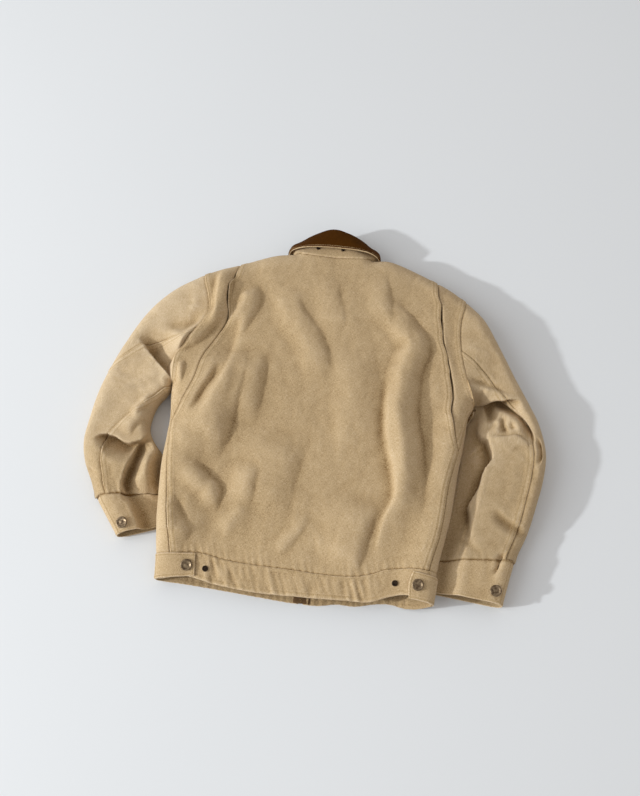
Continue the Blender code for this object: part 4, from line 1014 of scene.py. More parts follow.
def mesh_of(name: str, solid: bmesh.types.BMesh) -> Mesh:
    """Mesh of a finished solid."""
    mesh = bpy.data.meshes.new(name)
    solid.to_mesh(mesh)
    solid.free()
    return mesh


def declare(piece: Object, node: str = "") -> Object:
    """Attach a piece to the jacket's body, hide the solid named for it if any, and log it."""
    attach(piece, JACKET)
    if node:
        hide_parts(node)
    faces = sum(len(face.vertices) - 2 for face in piece.data.polygons)
    LOG.info("%s: %d triangles", piece.name, faces)
    return piece


# --- node trees


class Graph:
    """Short way to add nodes to a tree and link them."""

    def __init__(self, tree: NodeTree) -> None:
        """Keep the tree."""
        self.tree = tree

    def put(self, node: Node, inputs: dict[str | int, Any]) -> Node:
        """Set a node's inputs, each to a value or to the socket that it is linked from."""
        for name, value in inputs.items():
            if isinstance(value, NodeSocket):
                self.tree.links.new(value, node.inputs[name])
            else:
                node.inputs[name].default_value = value
        return node

    def add(self, kind: str, inputs: dict[str | int, Any] | None = None,
            **settings: Any) -> Node:
        """Add a node.

        Args:
            kind: the node's type.
            inputs: value, or socket to link from, for each input by name or number.
            settings: the node's own settings.

        Returns:
            The node.
        """
        node = self.tree.nodes.new(kind)
        for name, value in settings.items():
            setattr(node, name, value)
        return self.put(node, inputs or {})

    def math(self, operation: str, *values: Any, clamp: bool = False) -> NodeSocket:
        """Result of a sum on numbers or sockets."""
        return self.add("ShaderNodeMath", dict(enumerate(values)), operation=operation,
                        use_clamp=clamp).outputs[0]

    def vector(self, operation: str, inputs: dict[str | int, Any]) -> NodeSocket:
        """Result of a sum on vectors."""
        return self.add("ShaderNodeVectorMath", inputs, operation=operation).outputs[0]

    def noise(self, vector: NodeSocket, scale: Any, detail: float = 2.0,
              roughness: float = 0.5, output: int = 0) -> NodeSocket:
        """Value, or colour, of a noise texture."""
        return self.add("ShaderNodeTexNoise", {
            "Vector": vector, "Scale": scale, "Detail": detail,
            "Roughness": roughness}).outputs[output]

    def mix(self, factor: Any, first: Any, second: Any) -> NodeSocket:
        """Mixed colour."""
        return self.add("ShaderNodeMix", {0: factor, 6: first, 7: second},
                        data_type="RGBA").outputs[2]

    def spread(self, value: NodeSocket, low: float, high: float, start: float,
               end: float) -> NodeSocket:
        """Value moved from one range to another."""
        return self.add("ShaderNodeMapRange", {
            "Value": value, "From Min": low, "From Max": high, "To Min": start,
            "To Max": end}).outputs[0]

    def scaled(self, vector: NodeSocket, scale: tuple[float, float, float]) -> NodeSocket:
        """Vector stretched along its axes."""
        return self.add("ShaderNodeMapping", {"Vector": vector, "Scale": scale}).outputs[0]

    def place(self) -> NodeSocket:
        """Place on the object."""
        return self.add("ShaderNodeTexCoord").outputs["Object"]

    def grain(self) -> NodeSocket:
        """Place on the flat cloth."""
        return self.add("ShaderNodeUVMap", uv_map="grain").outputs[0]

    def bump(self, shader: Node, height: NodeSocket, distance: float, strength: float) -> None:
        """Give a shader fine relief."""
        node = self.add("ShaderNodeBump", {"Height": height, "Distance": distance,
                                           "Strength": strength})
        self.put(shader, {"Normal": node.outputs[0]})

    def end_mesh(self, mesh: NodeSocket, start: Any, end: Any) -> None:
        """End a geometry tree with a plain mesh of one material."""
        real = self.add("GeometryNodeRealizeInstances", {"Geometry": mesh})
        dressed = self.add("GeometryNodeSetMaterial", {"Geometry": real.outputs[0],
                                                       "Material": start.outputs["Finish"]})
        self.put(end, {"Mesh": dressed.outputs[0]})


FLOAT, VECTOR, COLOUR = "NodeSocketFloat", "NodeSocketVector", "NodeSocketColor"
GEOMETRY, INTEGER = "NodeSocketGeometry", "NodeSocketInt"
Colour = tuple[int, int, int]


def new_group(name: str, kind: str, inputs: dict[str, tuple[str, Any]],
              outputs: dict[str, str]) -> tuple[NodeTree, Graph, Any, Any]:
    """Start a node group with named sockets.

    Args:
        name: its name.
        kind: type of tree.
        inputs: type and value of each input.
        outputs: type of each output.

    Returns:
        The tree, its graph, and its input and output nodes.
    """
    tree = bpy.data.node_groups.new(name, kind)
    for label, (socket, value) in inputs.items():
        made = tree.interface.new_socket(name=label, in_out="INPUT", socket_type=socket)
        if value is not None:
            made.default_value = value
    for label, socket in outputs.items():
        tree.interface.new_socket(name=label, in_out="OUTPUT", socket_type=socket)
    graph = Graph(tree)
    return tree, graph, graph.add("NodeGroupInput"), graph.add("NodeGroupOutput")


def linear(red: float, green: float, blue: float) -> tuple[float, float, float, float]:
    """Screen colour from 0 to 255 as the colour a shader needs."""
    parts = []
    for value in (red / 255, green / 255, blue / 255):
        parts.append(value / 12.92 if value <= 0.04045 else ((value + 0.055) / 1.055) ** 2.4)
    return (*parts, 1.0)


def weave_group() -> NodeTree:
    """Plain weave of uneven threads: height, and flecks of paler and darker yarn."""
    tree, graph, start, end = new_group(
        "plain_weave", "ShaderNodeTree",
        {"Vector": (VECTOR, None), "Thread Pitch": (FLOAT, 0.0009)},
        {"Height": FLOAT, "Fleck": FLOAT})
    grain = start.outputs["Vector"]
    wobble = graph.vector("MULTIPLY", {0: graph.noise(grain, 160.0, output=1),
                                       1: (0.0006, 0.0006, 0.0)})
    parts = graph.add("ShaderNodeSeparateXYZ", {0: graph.vector("ADD", {0: grain, 1: wobble})})
    turns = graph.math("DIVIDE", math.pi, start.outputs["Thread Pitch"])
    over = graph.math("MULTIPLY", *(
        graph.math("SINE", graph.math("MULTIPLY", parts.outputs[axis], turns))
        for axis in (0, 1)))
    slubs = graph.math("SUBTRACT", graph.math("ADD", *(
        graph.noise(graph.scaled(grain, scale), 1250.0, 1.0)
        for scale in ((1.0, 0.18, 1.0), (0.18, 1.0, 1.0)))), 1.0)
    specks = graph.math("SUBTRACT", graph.noise(grain, 850.0, 2.0, 0.6), 0.5)
    for name, first, share, second, more in (("Height", over, 0.5, slubs, 1.6),
                                             ("Fleck", slubs, 1.1, specks, 1.5)):
        value = graph.math("ADD", graph.math("MULTIPLY", first, share),
                           graph.math("MULTIPLY", second, more))
        graph.put(end, {name: value})
    return tree


def tone_and_shade_group() -> NodeTree:
    """Uneven washed colour of three tones: clouds, flecks, worn places, and painted shade in
    hollows and crevices.
    """
    tree, graph, start, end = new_group(
        "washed_colour_and_shade", "ShaderNodeTree",
        {"Vector": (VECTOR, None), "Body": (COLOUR, (0.5, 0.4, 0.2, 1)),
         "Pale": (COLOUR, (0.7, 0.6, 0.4, 1)), "Deep_Shade_Tone": (COLOUR, (0.3, 0.2, 0.1, 1)),
         "Clouds": (FLOAT, 0.2), "Fleck": (FLOAT, 0.0), "Fleck Strength": (FLOAT, 0.4),
         "Wear_Shade": (FLOAT, 0.0)}, {"Color": COLOUR})
    given = start.outputs
    large = graph.math("SUBTRACT", graph.noise(given["Vector"], 9.0, 3.0), 0.5)
    small = graph.math("SUBTRACT", graph.noise(given["Vector"], 55.0, 4.0, 0.6), 0.5)
    clouds = graph.math("MULTIPLY", graph.math("ADD", large, small), given["Clouds"])
    flecks = graph.math("MULTIPLY", given["Fleck"], given["Fleck Strength"])
    # The wear value also holds painted shade, which turns the colour towards the deep tone.
    tone = graph.math("ADD", graph.math("ADD", clouds, flecks), given["Wear_Shade"])
    paler = graph.mix(graph.math("MAXIMUM", tone, 0.0, clamp=True), given["Body"],
                      given["Pale"])
    down = graph.math("MAXIMUM", graph.math("MULTIPLY", tone, -1.0), 0.0, clamp=True)
    graph.put(end, {"Color": graph.mix(down, paler, given["Deep_Shade_Tone"])})
    return tree


def tarnish_group() -> NodeTree:
    """Dull blotches of old metal: a mask and a fine height."""
    tree, graph, start, end = new_group(
        "tarnish", "ShaderNodeTree", {"Vector": (VECTOR, None), "Scale": (FLOAT, 300.0)},
        {"Mask": FLOAT, "Height": FLOAT})
    for name, factor, detail in (("Mask", 1.0, 4.0), ("Height", 6.0, 2.0)):
        scale = graph.math("MULTIPLY", start.outputs["Scale"], factor)
        blotches = graph.noise(start.outputs["Vector"], scale, detail)
        graph.put(end, {name: graph.spread(blotches, 0.35, 0.65, 0.0, 1.0)})
    return tree


class Groups:
    """The shared shader effects, each built once."""

    def __init__(self) -> None:
        """Build all three."""
        # The fade group tones the cloth with flecks, wear and painted shade.
        self.weave, self.fade, self.tarnish = weave_group(), tone_and_shade_group(), tarnish_group()


def new_material(name: str) -> tuple[Material, Graph, Node]:
    """Start a material, with its graph and its Principled shader."""
    made = bpy.data.materials.new(name)
    made.use_nodes = True
    return made, Graph(made.node_tree), made.node_tree.nodes["Principled BSDF"]


@dataclass(frozen=True)
class ClothFinish:
    """Washed cloth of three tones; the deep tone also colours the painted shade in hollows and
    crevices.
    """

    name: str
    body: Colour
    pale: Colour
    deep_tone_and_shade: Colour
    pitch: float = 0.0009
    clouds: float = 0.35
    fleck: float = 1.2

    def tone_with_shade(self, groups: Groups, graph: Graph, shader: Node,
             fleck: NodeSocket) -> None:
        """Colour the shader from the cloth's flecks, its wear and its painted shade."""
        wear_and_shade = graph.add("ShaderNodeAttribute", attribute_name="wear_and_shade").outputs["Fac"]
        fade = graph.add("ShaderNodeGroup", {
            "Vector": graph.place(), "Fleck": fleck, "Wear_Shade": wear_and_shade,
            "Body": linear(*self.body), "Pale": linear(*self.pale),
            "Deep_Shade_Tone": linear(*self.deep_tone_and_shade), "Clouds": self.clouds,
            "Fleck Strength": self.fleck}, node_tree=groups.fade)
        graph.put(shader, {"Base Color": fade.outputs[0]})


@dataclass(frozen=True)
class WovenFinish(ClothFinish):
    """Washed woven cloth."""

    depth: float = 0.0004

    def build(self, groups: Groups) -> Material:
        """Make the material from the weave and the washed colour.

        Args:
            groups: the shared effects.

        Returns:
            The material.
        """
        made, graph, shader = new_material(self.name)
        weave = graph.add("ShaderNodeGroup", {"Vector": graph.grain(),
                                              "Thread Pitch": self.pitch},
                          node_tree=groups.weave)
        self.tone_with_shade(groups, graph, shader, weave.outputs["Fleck"])
        graph.bump(shader, weave.outputs["Height"], self.depth, 0.8)
        graph.put(shader, {"Roughness": 0.92, "Sheen Weight": 0.08, "Sheen Roughness": 0.6,
                           "Specular IOR Level": 0.25})
        return made


@dataclass(frozen=True)
class CordFinish(ClothFinish):
    """Corduroy: soft wales, paler where the pile is rubbed."""

    def build(self, groups: Groups) -> Material:
        """Make the material; the wales run along the grain's second axis.

        Args:
            groups: the shared effects.

        Returns:
            The material.
        """
        made, graph, shader = new_material(self.name)
        grain = graph.grain()
        parts = graph.add("ShaderNodeSeparateXYZ", {0: grain})
        wave = graph.math("SINE", graph.math("MULTIPLY", parts.outputs[0],
                                             2 * math.pi / self.pitch))
        pile = graph.noise(graph.scaled(grain, (1.0, 0.25, 1.0)), 1400.0)
        nap = graph.math("ADD", graph.math("MULTIPLY", wave, 0.35),
                         graph.math("SUBTRACT", pile, 0.5))
        self.tone_with_shade(groups, graph, shader, nap)
        height = graph.math("ADD", wave, graph.math("MULTIPLY", pile, 0.8))
        graph.bump(shader, height, 0.0004, 0.7)
        graph.put(shader, {"Roughness": 0.85, "Sheen Weight": 0.04,
                           "Specular IOR Level": 0.1})
        return made


@dataclass(frozen=True)
class ThreadFinish:
    """Sewing thread."""

    name: str
    colour: Colour

    def build(self) -> Material:
        """Make the material, with slight changes of tone along the seam."""
        made, graph, shader = new_material(self.name)
        colour = linear(*self.colour)
        darker = tuple(part * 0.62 for part in colour[:3]) + (1.0,)
        tone = graph.mix(graph.noise(graph.place(), 260.0), colour, darker)
        graph.put(shader, {"Base Color": tone, "Roughness": 0.9, "Specular IOR Level": 0.05})
        return made


@dataclass(frozen=True)
class MetalFinish:
    """Dull metal with blotches of tarnish."""

    name: str
    bright: Colour
    dull: Colour
    roughness: float = 0.38

    def build(self, groups: Groups) -> Material:
        """Make the material from the shared tarnish.

        Args:
            groups: the shared effects.

        Returns:
            The material.
        """
        made, graph, shader = new_material(self.name)
        tarnish = graph.add("ShaderNodeGroup", {"Vector": graph.place(), "Scale": 260.0},
                            node_tree=groups.tarnish)
        mask = tarnish.outputs["Mask"]
        graph.put(shader, {
            "Base Color": graph.mix(mask, linear(*self.bright), linear(*self.dull)),
            "Roughness": graph.spread(mask, 0.0, 1.0, self.roughness, self.roughness + 0.25),
            "Metallic": 0.9})
        graph.bump(shader, tarnish.outputs["Height"], 0.00005, 0.4)
        return made


class Finishes:
    """Every material of the jacket, built once."""

    def __init__(self) -> None:
        """Build the groups and the materials."""
        groups = Groups()
        # Each cloth's third colour is its darkest tone, which also colours its painted shade.
        self.canvas = WovenFinish("washed_canvas", (189, 161, 120), (222, 199, 166),
                                  (110, 79, 34)).build(groups)
        self.tape = WovenFinish("zip_tape", (96, 70, 42), (128, 98, 62), (54, 38, 22),
                                pitch=0.0006, clouds=0.2, depth=0.0001).build(groups)
        self.corduroy = CordFinish("brown_corduroy", (82, 47, 10), (116, 73, 27), (44, 24, 10),
                                   pitch=0.0019, clouds=0.7, fleck=0.45).build(groups)
        self.wale = ThreadFinish("corduroy_pile", (86, 50, 10)).build()
        self.thread = ThreadFinish("pale_thread", (214, 186, 140)).build()
        self.metal = MetalFinish("button_metal", (150, 130, 104), (92, 74, 56)).build(groups)
        self.dark = MetalFinish("stud_metal", (70, 56, 42), (34, 26, 20)).build(groups)
        self.brass = MetalFinish("zip_brass", (150, 122, 80), (92, 68, 42)).build(groups)


# --- things that repeat


def repeat_tree() -> NodeTree:
    """Geometry Nodes: one small piece set along paths at a pitch, turned to the cloth."""
    tree, graph, start, end = new_group(
        "repeat_on_path", "GeometryNodeTree",
        {"Paths": (GEOMETRY, None), "Piece": ("NodeSocketObject", None),
         "Pitch": (FLOAT, 0.003), "Lift": (FLOAT, 0.0), "Uneven": (FLOAT, 0.1),
         "Seed": (INTEGER, 4), "Finish": ("NodeSocketMaterial", None)}, {"Mesh": GEOMETRY})
    given = start.outputs
    curve = graph.add("GeometryNodeMeshToCurve", {"Mesh": given["Paths"]})
    run = graph.add("GeometryNodeResampleCurve", {"Curve": curve.outputs[0],
                                                  "Length": given["Pitch"]}, mode="LENGTH")
    facing = graph.add("GeometryNodeInputNamedAttribute", {"Name": "facing"},
                       data_type="FLOAT_VECTOR").outputs["Attribute"]
    tangent = graph.add("GeometryNodeInputTangent")
    turn = graph.add("FunctionNodeAxesToRotation", {
        "Primary Axis": facing, "Secondary Axis": tangent.outputs[0]},
        primary_axis="Z", secondary_axis="X")
    moved = graph.add("GeometryNodeSetPosition", {
        "Geometry": run.outputs[0],
        "Offset": graph.vector("SCALE", {0: facing, "Scale": given["Lift"]})})
    piece = graph.add("GeometryNodeObjectInfo", {"Object": given["Piece"]})
    chance = graph.add("FunctionNodeRandomValue", {
        "Seed": given["Seed"], 2: graph.math("SUBTRACT", 1.0, given["Uneven"]),
        3: graph.math("ADD", 1.0, given["Uneven"])}, data_type="FLOAT")
    placed = graph.add("GeometryNodeInstanceOnPoints", {
        "Points": moved.outputs[0], "Instance": piece.outputs["Geometry"],
        "Rotation": turn.outputs[0], "Scale": chance.outputs[1]})
    graph.end_mesh(placed.outputs[0], start, end)
    return tree


def rib_tree() -> NodeTree:
    """Geometry Nodes: a low rounded rib swept along each path."""
    tree, graph, start, end = new_group(
        "ribs_on_paths", "GeometryNodeTree",
        {"Paths": (GEOMETRY, None), "Radius": (FLOAT, 0.0006), "Sides": (INTEGER, 6),
         "Finish": ("NodeSocketMaterial", None)}, {"Mesh": GEOMETRY})
    curve = graph.add("GeometryNodeMeshToCurve", {"Mesh": start.outputs["Paths"]})
    section = graph.add("GeometryNodeCurvePrimitiveCircle", {
        "Resolution": start.outputs["Sides"], "Radius": start.outputs["Radius"]})
    swept = graph.add("GeometryNodeCurveToMesh", {
        "Curve": curve.outputs[0], "Profile Curve": section.outputs[0], "Fill Caps": True})
    graph.end_mesh(swept.outputs[0], start, end)
    return tree


def grow(name: str, paths: Sequence[Pair], tree: NodeTree,
         slot: str, **values: Any) -> Object:
    """Args:
        name: name of the piece.
        paths: points and outward directions of each path, in jacket millimetres.
        tree: the node tree.
        slot: not used.
        values: the tree's inputs by name.

    Returns:
        The piece, at the origin, which rides on the jacket.
    """
    points = np.concatenate([path[0] for path in paths])
    facing = np.concatenate([path[1] for path in paths])
    edges, first = [], 0
    for path, _ in paths:
        edges.extend((first + k, first + k + 1) for k in range(len(path) - 1))
        first += len(path)
    points[:, 2] = np.maximum(points[:, 2], 0.6)
    mesh = bpy.data.meshes.new(name + "_paths")
    mesh.from_pydata(place(points).tolist(), edges, [])
    mesh.attributes.new("facing", "FLOAT_VECTOR", "POINT").data.foreach_set(
        "vector", facing.astype(np.float32).ravel())
    carrier = add_object(name + "_paths", mesh)
    modifier = carrier.modifiers.new("grow", "NODES")
    modifier.node_group = tree
    for item in tree.interface.items_tree:
        if item.item_type == "SOCKET" and item.in_out == "INPUT" and item.name in values:
            modifier[item.identifier] = values[item.name]
    graph = bpy.context.evaluated_depsgraph_get()
    made = bpy.data.meshes.new_from_object(carrier.evaluated_get(graph), depsgraph=graph)
    bpy.data.objects.remove(carrier)
    made.name = name
    made.shade_smooth()
    return declare(add_object(name, made))


def small_piece(name: str, size: tuple[float, float, float], sides: int,
                rings: int) -> Object:
    """A small rounded piece for repeating, of the given size in millimetres."""
    solid = bmesh.new()
    bmesh.ops.create_uvsphere(solid, u_segments=sides, v_segments=rings, radius=0.5 * MM,
                              matrix=Matrix.Rotation(math.radians(90), 4, "Y"))
    bmesh.ops.scale(solid, vec=size, verts=solid.verts[:])
    made = add_object(name, mesh_of(name, solid))
    made.hide_render = True
    return made


class Sewing:
    """Rows of stitches, one piece for each part of the jacket."""

    PITCH, LIFT, UNEVEN = 3.3, 0.1, 0.12

    def __init__(self, finish: Material) -> None:
        """Build the stitch and the tree that repeats it."""
        self.finish = finish
        self.stitch = small_piece("stitch", (2.7, 0.8, 0.7), 6, 5)
        self.tree = repeat_tree()

    def sew(self, name: str, rows: Sequence[Pair]) -> None:
        """Sew rows of stitches, given as points and outward directions."""
        grow(name, rows, self.tree, "canvas", Piece=self.stitch, Pitch=self.PITCH * MM,
             Lift=self.LIFT * MM, Uneven=self.UNEVEN, Seed=len(rows), Finish=self.finish)

    def done(self) -> None:
        """Remove the pattern stitch."""
        bpy.data.objects.remove(self.stitch)


# --- the parts


@dataclass
class Side:
    """What differs between the wearer's left and right."""

    word: str
    way: int
    side: Table
    armhole: Array
    shoulder: Array
    pleat: Array
    neck: Array
    sleeve: Sleeve
    seams: Table

    def seam_plan(self, y: Array | float) -> Array:
        """Places on the side seam."""
        y = np.asarray(y, float)
        rail = self.side.at("rail", y)
        return np.stack([rail - self.way * self.side.at("seam", y), y], -1)

    def band_y(self) -> float:
        """Height in plan of the band's seam at the side seam."""
        return float(BACK_SEAM.at("y", self.seam_plan(-322.0)[0]))

    def side_line(self, start: float, end: float, count: int) -> Array:
        """Side seam between two heights in plan."""
        return self.seam_plan(np.linspace(start, end, count + 1))

    def shoulder_near(self, point: Array, to_neck: bool) -> Array:
        """Shoulder line from a pleat's top to the neck, or from the armhole to the pleat.

        Args:
            point: the pleat's top.
            to_neck: whether the part beside the neck is wanted.

        Returns:
            Plan places of that part.
        """
        line = spline(self.shoulder, even(160))
        at = int(np.argmin(np.linalg.norm(line - point, axis=1)))
        if to_neck:
            return np.concatenate([[point], line[at:0:-1][2:], line[:1]])
        return np.concatenate([line[::-1][:160 - at][:-1], [point]])


def blurred(grid: Array, reach: int) -> Array:
    """Average of a grid of points over a square of neighbours.

    Args:
        grid: rows and columns of points.
        reach: how many neighbours on each side.

    Returns:
        The averaged grid.
    """
    for axis in (0, 1):
        first, last = np.take(grid, [0], axis), np.take(grid, [-1], axis)
        wide = np.concatenate([first] * (reach + 1) + [grid] + [last] * reach, axis)
        total = np.cumsum(wide, axis)
        count = grid.shape[axis]
        high = np.take(total, np.arange(count) + 2 * reach + 1, axis)
        grid = (high - np.take(total, np.arange(count), axis)) / (2 * reach + 1)
    return grid


def tone_with_shade(cloth: Cloth) -> None:
    """Pale the cloth a little on its ridges, where it fades, and darken its hollows with painted
    shade.
    """
    for reach, strength in ((2, 0.14), (6, 0.08)):
        stands = ((cloth.outer - blurred(cloth.outer, reach)) * cloth.normals).sum(-1)
        cloth.worn_and_shaded += np.clip(strength * stands, -0.5, 0.12)


def finish_cloth(cloth: Cloth, finishes: Sequence[Material],
                 lining: int = 0) -> None:
    """Args:
        cloth: the piece.
        finishes: its materials; the first is for the outer face.
        lining: number of the material for the inner face and the rim.
    """
    # Paler ridges, and painted shade in the hollows.
    tone_with_shade(cloth)
    piece = declare(shell(cloth, finishes, lining), cloth.name)


@dataclass
class Sewn:
    """A sub-assembly whose pieces of canvas gather their rows of stitches."""

    finishes: Finishes
    sewing: Sewing
    rows: list[Pair] = field(default_factory=list, init=False)

    def keep(self, cloth: Cloth) -> None:
        """Finish a piece of canvas and keep its stitches."""
        self.rows += cloth.stitch_rows
        finish_cloth(cloth, [self.finishes.canvas])


@dataclass
class Body(Sewn):
    """Back, side backs, fronts, waistband and tabs."""

    torso: Torso
    left: Side
    right: Side
    pitch: float = 3.4
    front_pitch: float = 6.0
    lap_reach: float = 46.0

    CENTRE = np.array([0.0, -60.0, 22.0])
    LEFT_TAB = np.array([(-241, -331), (-176, -324), (-238, -371), (-172, -360)], float)

    def build(self) -> None:
        """Build every cloth piece of the body."""
        self.back()
        for side in (self.left, self.right):
            self.side_back(side)
            self.front(side)
            self.band_front(side)
        self.band_back()
        self.tabs()
        self.sewing.sew("stitches_body", self.rows)

    def cloth(self, name: str, plan: Array, lift: Array) -> Cloth:
        """A piece of cloth on the torso's upper wall over a plan grid, raised by lift."""
        outer = self.torso.surface(plan, True)
        outer[..., 2] += lift
        return Cloth.over(name, outer, self.CENTRE, plan)

    def back(self) -> None:
        """Centre back, which laps over the side backs along the two pleats."""
        borders = []
        for side in (self.left, self.right):
            seam = side.side_line(side.band_y(), PLEAT_END, 80)
            borders.append(np.concatenate([seam, spline(side.pleat, even(SEAM_STEPS))[1:]]))
        left, right = borders
        x = np.linspace(left[0, 0], right[0, 0], 120)
        bottom = BACK_SEAM.along("y", x)
        bottom[0], bottom[-1] = left[0], right[0]
        top = np.concatenate([
            self.left.shoulder_near(left[-1], True)[:-1], spline(BACK_NECK, even(60)),
            self.right.shoulder_near(right[-1], True)[-2::-1],
        ])
        v = shares([600.0], self.pitch, FINE, FINE).T
        widths = np.linalg.norm(resample(right, v) - resample(left, v), axis=-1)
        u = shares(widths, self.pitch, FINE, FINE)
        plan, lift = self.lap_over(patch(bottom, top, left, right, u, v))
        cloth = self.cloth("back_panel", plan, lift)
        self.keep(cloth.sew(GATHERED, SHOULDER, LAPPED, LAPPED, 5))

    def lap_over(self, plan: Array) -> Pair:
        """Move the pleats' edges out over the side backs, and raise them.

        Args:
            plan: plan grid of the centre back.

        Returns:
            The moved plan, and the height that its points are raised by.
        """
        across, lift = runs(plan)[0], np.zeros(plan.shape[:2])
        for side, distance in ((self.left, across), (self.right, across[:, -1:] - across)):
            line = spline(side.pleat, even(SEAM_STEPS))
            edge = plan[:, 0 if side.way < 0 else -1]
            share = np.where(edge[:, 1] > PLEAT_END, nearest(edge, line)[1], 0.0)[:, None]
            lifted, lapped = self.lap_shares(side, share)
            reach = 1 - ease(distance / self.lap_reach)
            uneven = 1 + 0.3 * wander(edge[:, 1:2], 26.0, 91)
            plan[..., 0] += side.way * PLEAT_LAP * uneven * lapped * reach
            lift += PLEAT_LIFT * lifted * reach
        return plan, lift

    def lap_shares(self, side: Side, share: Array) -> Pair:
        """How much a pleat is raised and lapped at a share of its line.

        Args:
            side: which side.
            share: share of the pleat's line.

        Returns:
            Both amounts, from 0 to 1.
        """
        low, high = PLEAT_SHARES[side.word]
        lifted = ease((share - low) / 0.10) * ease((high - share) / 0.07)
        lapped = ease((share - low - 0.11) / 0.12) * ease((high - 0.075 - share) / 0.07)
        return lifted, lapped

    def side_back(self, side: Side) -> None:
        """Back piece between the pleat and the armhole, down to a point on the side seam.

        Args:
            side: which side.
        """
        armhole = spline(side.armhole, even(SEAM_STEPS))[::-1]
        seam = side.side_line(PLEAT_END, side.armhole[-1][1], 30)
        outside = np.concatenate([seam, armhole[1:]])
        inside = spline(side.pleat, even(SEAM_STEPS))
        top = side.shoulder_near(inside[-1], False)
        bottom = np.linspace(outside[0], inside[0], 20)
        v = shares([370.0], self.pitch, COARSE, FINE).T
        widths = np.linalg.norm(resample(inside, v) - resample(outside, v), axis=-1)
        u = shares(np.maximum(widths, 24.0), self.pitch, FINE, COARSE)
        plan = patch(bottom, top, outside, inside, u, v)
        _, lapped = self.lap_shares(side, nearest(plan[:, -1], inside)[1][:, None])
        across = runs(plan)[0]
        past = across[:, -1:] - across - PLEAT_LAP * lapped
        fold = PLEAT_FOLD * ease(past / 4.2) * np.exp(-(np.maximum(past - 4.2, 0) / 12.0) ** 2)
        cloth = self.cloth("side_back_" + side.word, plan,
                           lapped * (fold - PLEAT_DEPTH * (1 - ease((past - 1.2) / 4.0))))
        cloth.sew(left=LAPPED, top=SHOULDER, right=UNDER, seed=15 + side.way)
        # Painted shade: the crevice under the pleat's lap is darkened.
        cloth.worn_and_shaded -= 1.8 * lapped * (1 - ease((past - 2.0) / 2.5))
        self.keep(cloth)

    def rolled(self, side: Side, y: float, inset: float, count: int,
               share: float | None = None) -> Array:
        """Outer points from the side seam, round the edge, to the floor side.

        Args:
            side: which side.
            y: height in plan.
            inset: distance of the seam from the edge.
            count: number of steps.
            share: share of the way down the band, for the band.

        Returns:
            A row of points.
        """
        top = np.linspace(inset, 0.0, 30)
        under = FRONT_ROLL * (1 - np.cos(np.linspace(0, np.pi / 2, 40)))
        depth = np.concatenate([top, under[1:]])
        upper = np.arange(len(depth)) < len(top)
        height = np.full(len(depth), float(y))
        x = side.side.at("rail", height) - side.way * depth
        if share is not None:
            soft = ease(np.arange(len(depth)) / len(depth))
            edge = BACK_HEM.at("y", x) * (1 - soft) + FRONT_HEM.at("y", x) * soft
            height = height + (edge - height) * share
            x = side.side.at("rail", height) - side.way * depth
        return resample(self.torso.surface(np.stack([x, height], -1), upper), close(count))

    def front(self, side: Side) -> None:
        """Front, flat on the floor, rolled up round the side to the side seam.

        Args:
            side: which side.
        """
        count = 14
        seam = np.concatenate([side.side_line(side.band_y(), PLEAT_END, 60),
                               side.side_line(PLEAT_END, side.armhole[-1][1], 24)[1:]])
        rolls = [self.rolled(side, y, float(side.side.at("seam", y)), count)
                 for y in seam[:-1, 1]]
        armhole = spline(side.armhole, even(50))[::-1]
        pleat_top = side.pleat[-1]
        to_pleat = unit(pleat_top - armhole[-1])
        for index, point in enumerate(armhole[:-1]):
            part = (index / 50) ** 3
            way = unit(np.array([-side.way, 0.0]) * (1 - part) + to_pleat * part)
            path = np.linspace(point, point + way * FRONT_ROLL * (1 + 0.9 * part), 40)
            rolls.append(resample(self.torso.surface(path, False), close(count)))
        last = resample(side.shoulder_near(pleat_top, False), close(count))
        rolls.append(self.torso.surface(last, False))
        rolls = np.array(rolls)
        left = rolls[:, -1, :2]
        right = self.front_edge(side, left)
        top = np.concatenate([side.shoulder_near(pleat_top, True)[:-1],
                              spline(side.neck, even(60))])
        bottom = np.linspace(left[0], right[0], 20)
        v = even(len(left) - 1)[:, None]
        u = shares(np.linalg.norm(right - left, axis=-1), self.front_pitch, COARSE, FINE)
        plan = patch(bottom, top, resample(left, v[:, 0]), right, u, v)
        plan[:, 0] = left
        floor = self.torso.surface(plan, False)
        cloth = Cloth.over("front_" + side.word,
                           np.concatenate([rolls, floor[:, 1:]], axis=1), self.CENTRE)
        beside_zip = EdgeFinish(lift=0.6, width=9.0, rows=(1.8,))
        self.keep(cloth.sew(SUNK, SUNK, GROOVE, beside_zip, 25 + side.way))

    def front_edge(self, side: Side, left: Array) -> Array:
        """Front edge beside the zip, with a point for each row of the front.

        Args:
            side: which side.
            left: the front's outer border, from the band up.

        Returns:
            Plan places of the edge.
        """
        run = run_of(left)
        start = left[0, 1] - FRONT_DROP
        y = start + (side.neck[-1][1] - start) * run / run[-1]
        right = np.stack([CENTRE_FRONT.at("x", y) + side.way * ZIP_HALF, y], -1)
        right[-1] = side.neck[-1]
        return right

    def gather(self, plan: Array, share: Array) -> Array:
        """Height of the waistband's gathers.

        Args:
            plan: plan places.
            share: share of the way down the band.

        Returns:
            The height at each place.
        """
        x = plan[..., 0]
        ends = ease((x + 172) / 30) * ease((158 - x) / 30)
        strong = np.exp(-(((x + 132) / 26) ** 2)) + 0.6 * np.exp(-(((x - 105) / 22) ** 2))
        slanted = plan + np.stack([-16.0 * share, 0.0 * share], -1)
        pucker = 1.5 * noise(slanted, (9.0, 34.0), 71) + 1.1 * noise(slanted, (17.0, 26.0), 75)
        return (0.8 + 1.3 * strong) * ends * pucker * ease(share * 3.0 + 0.3)

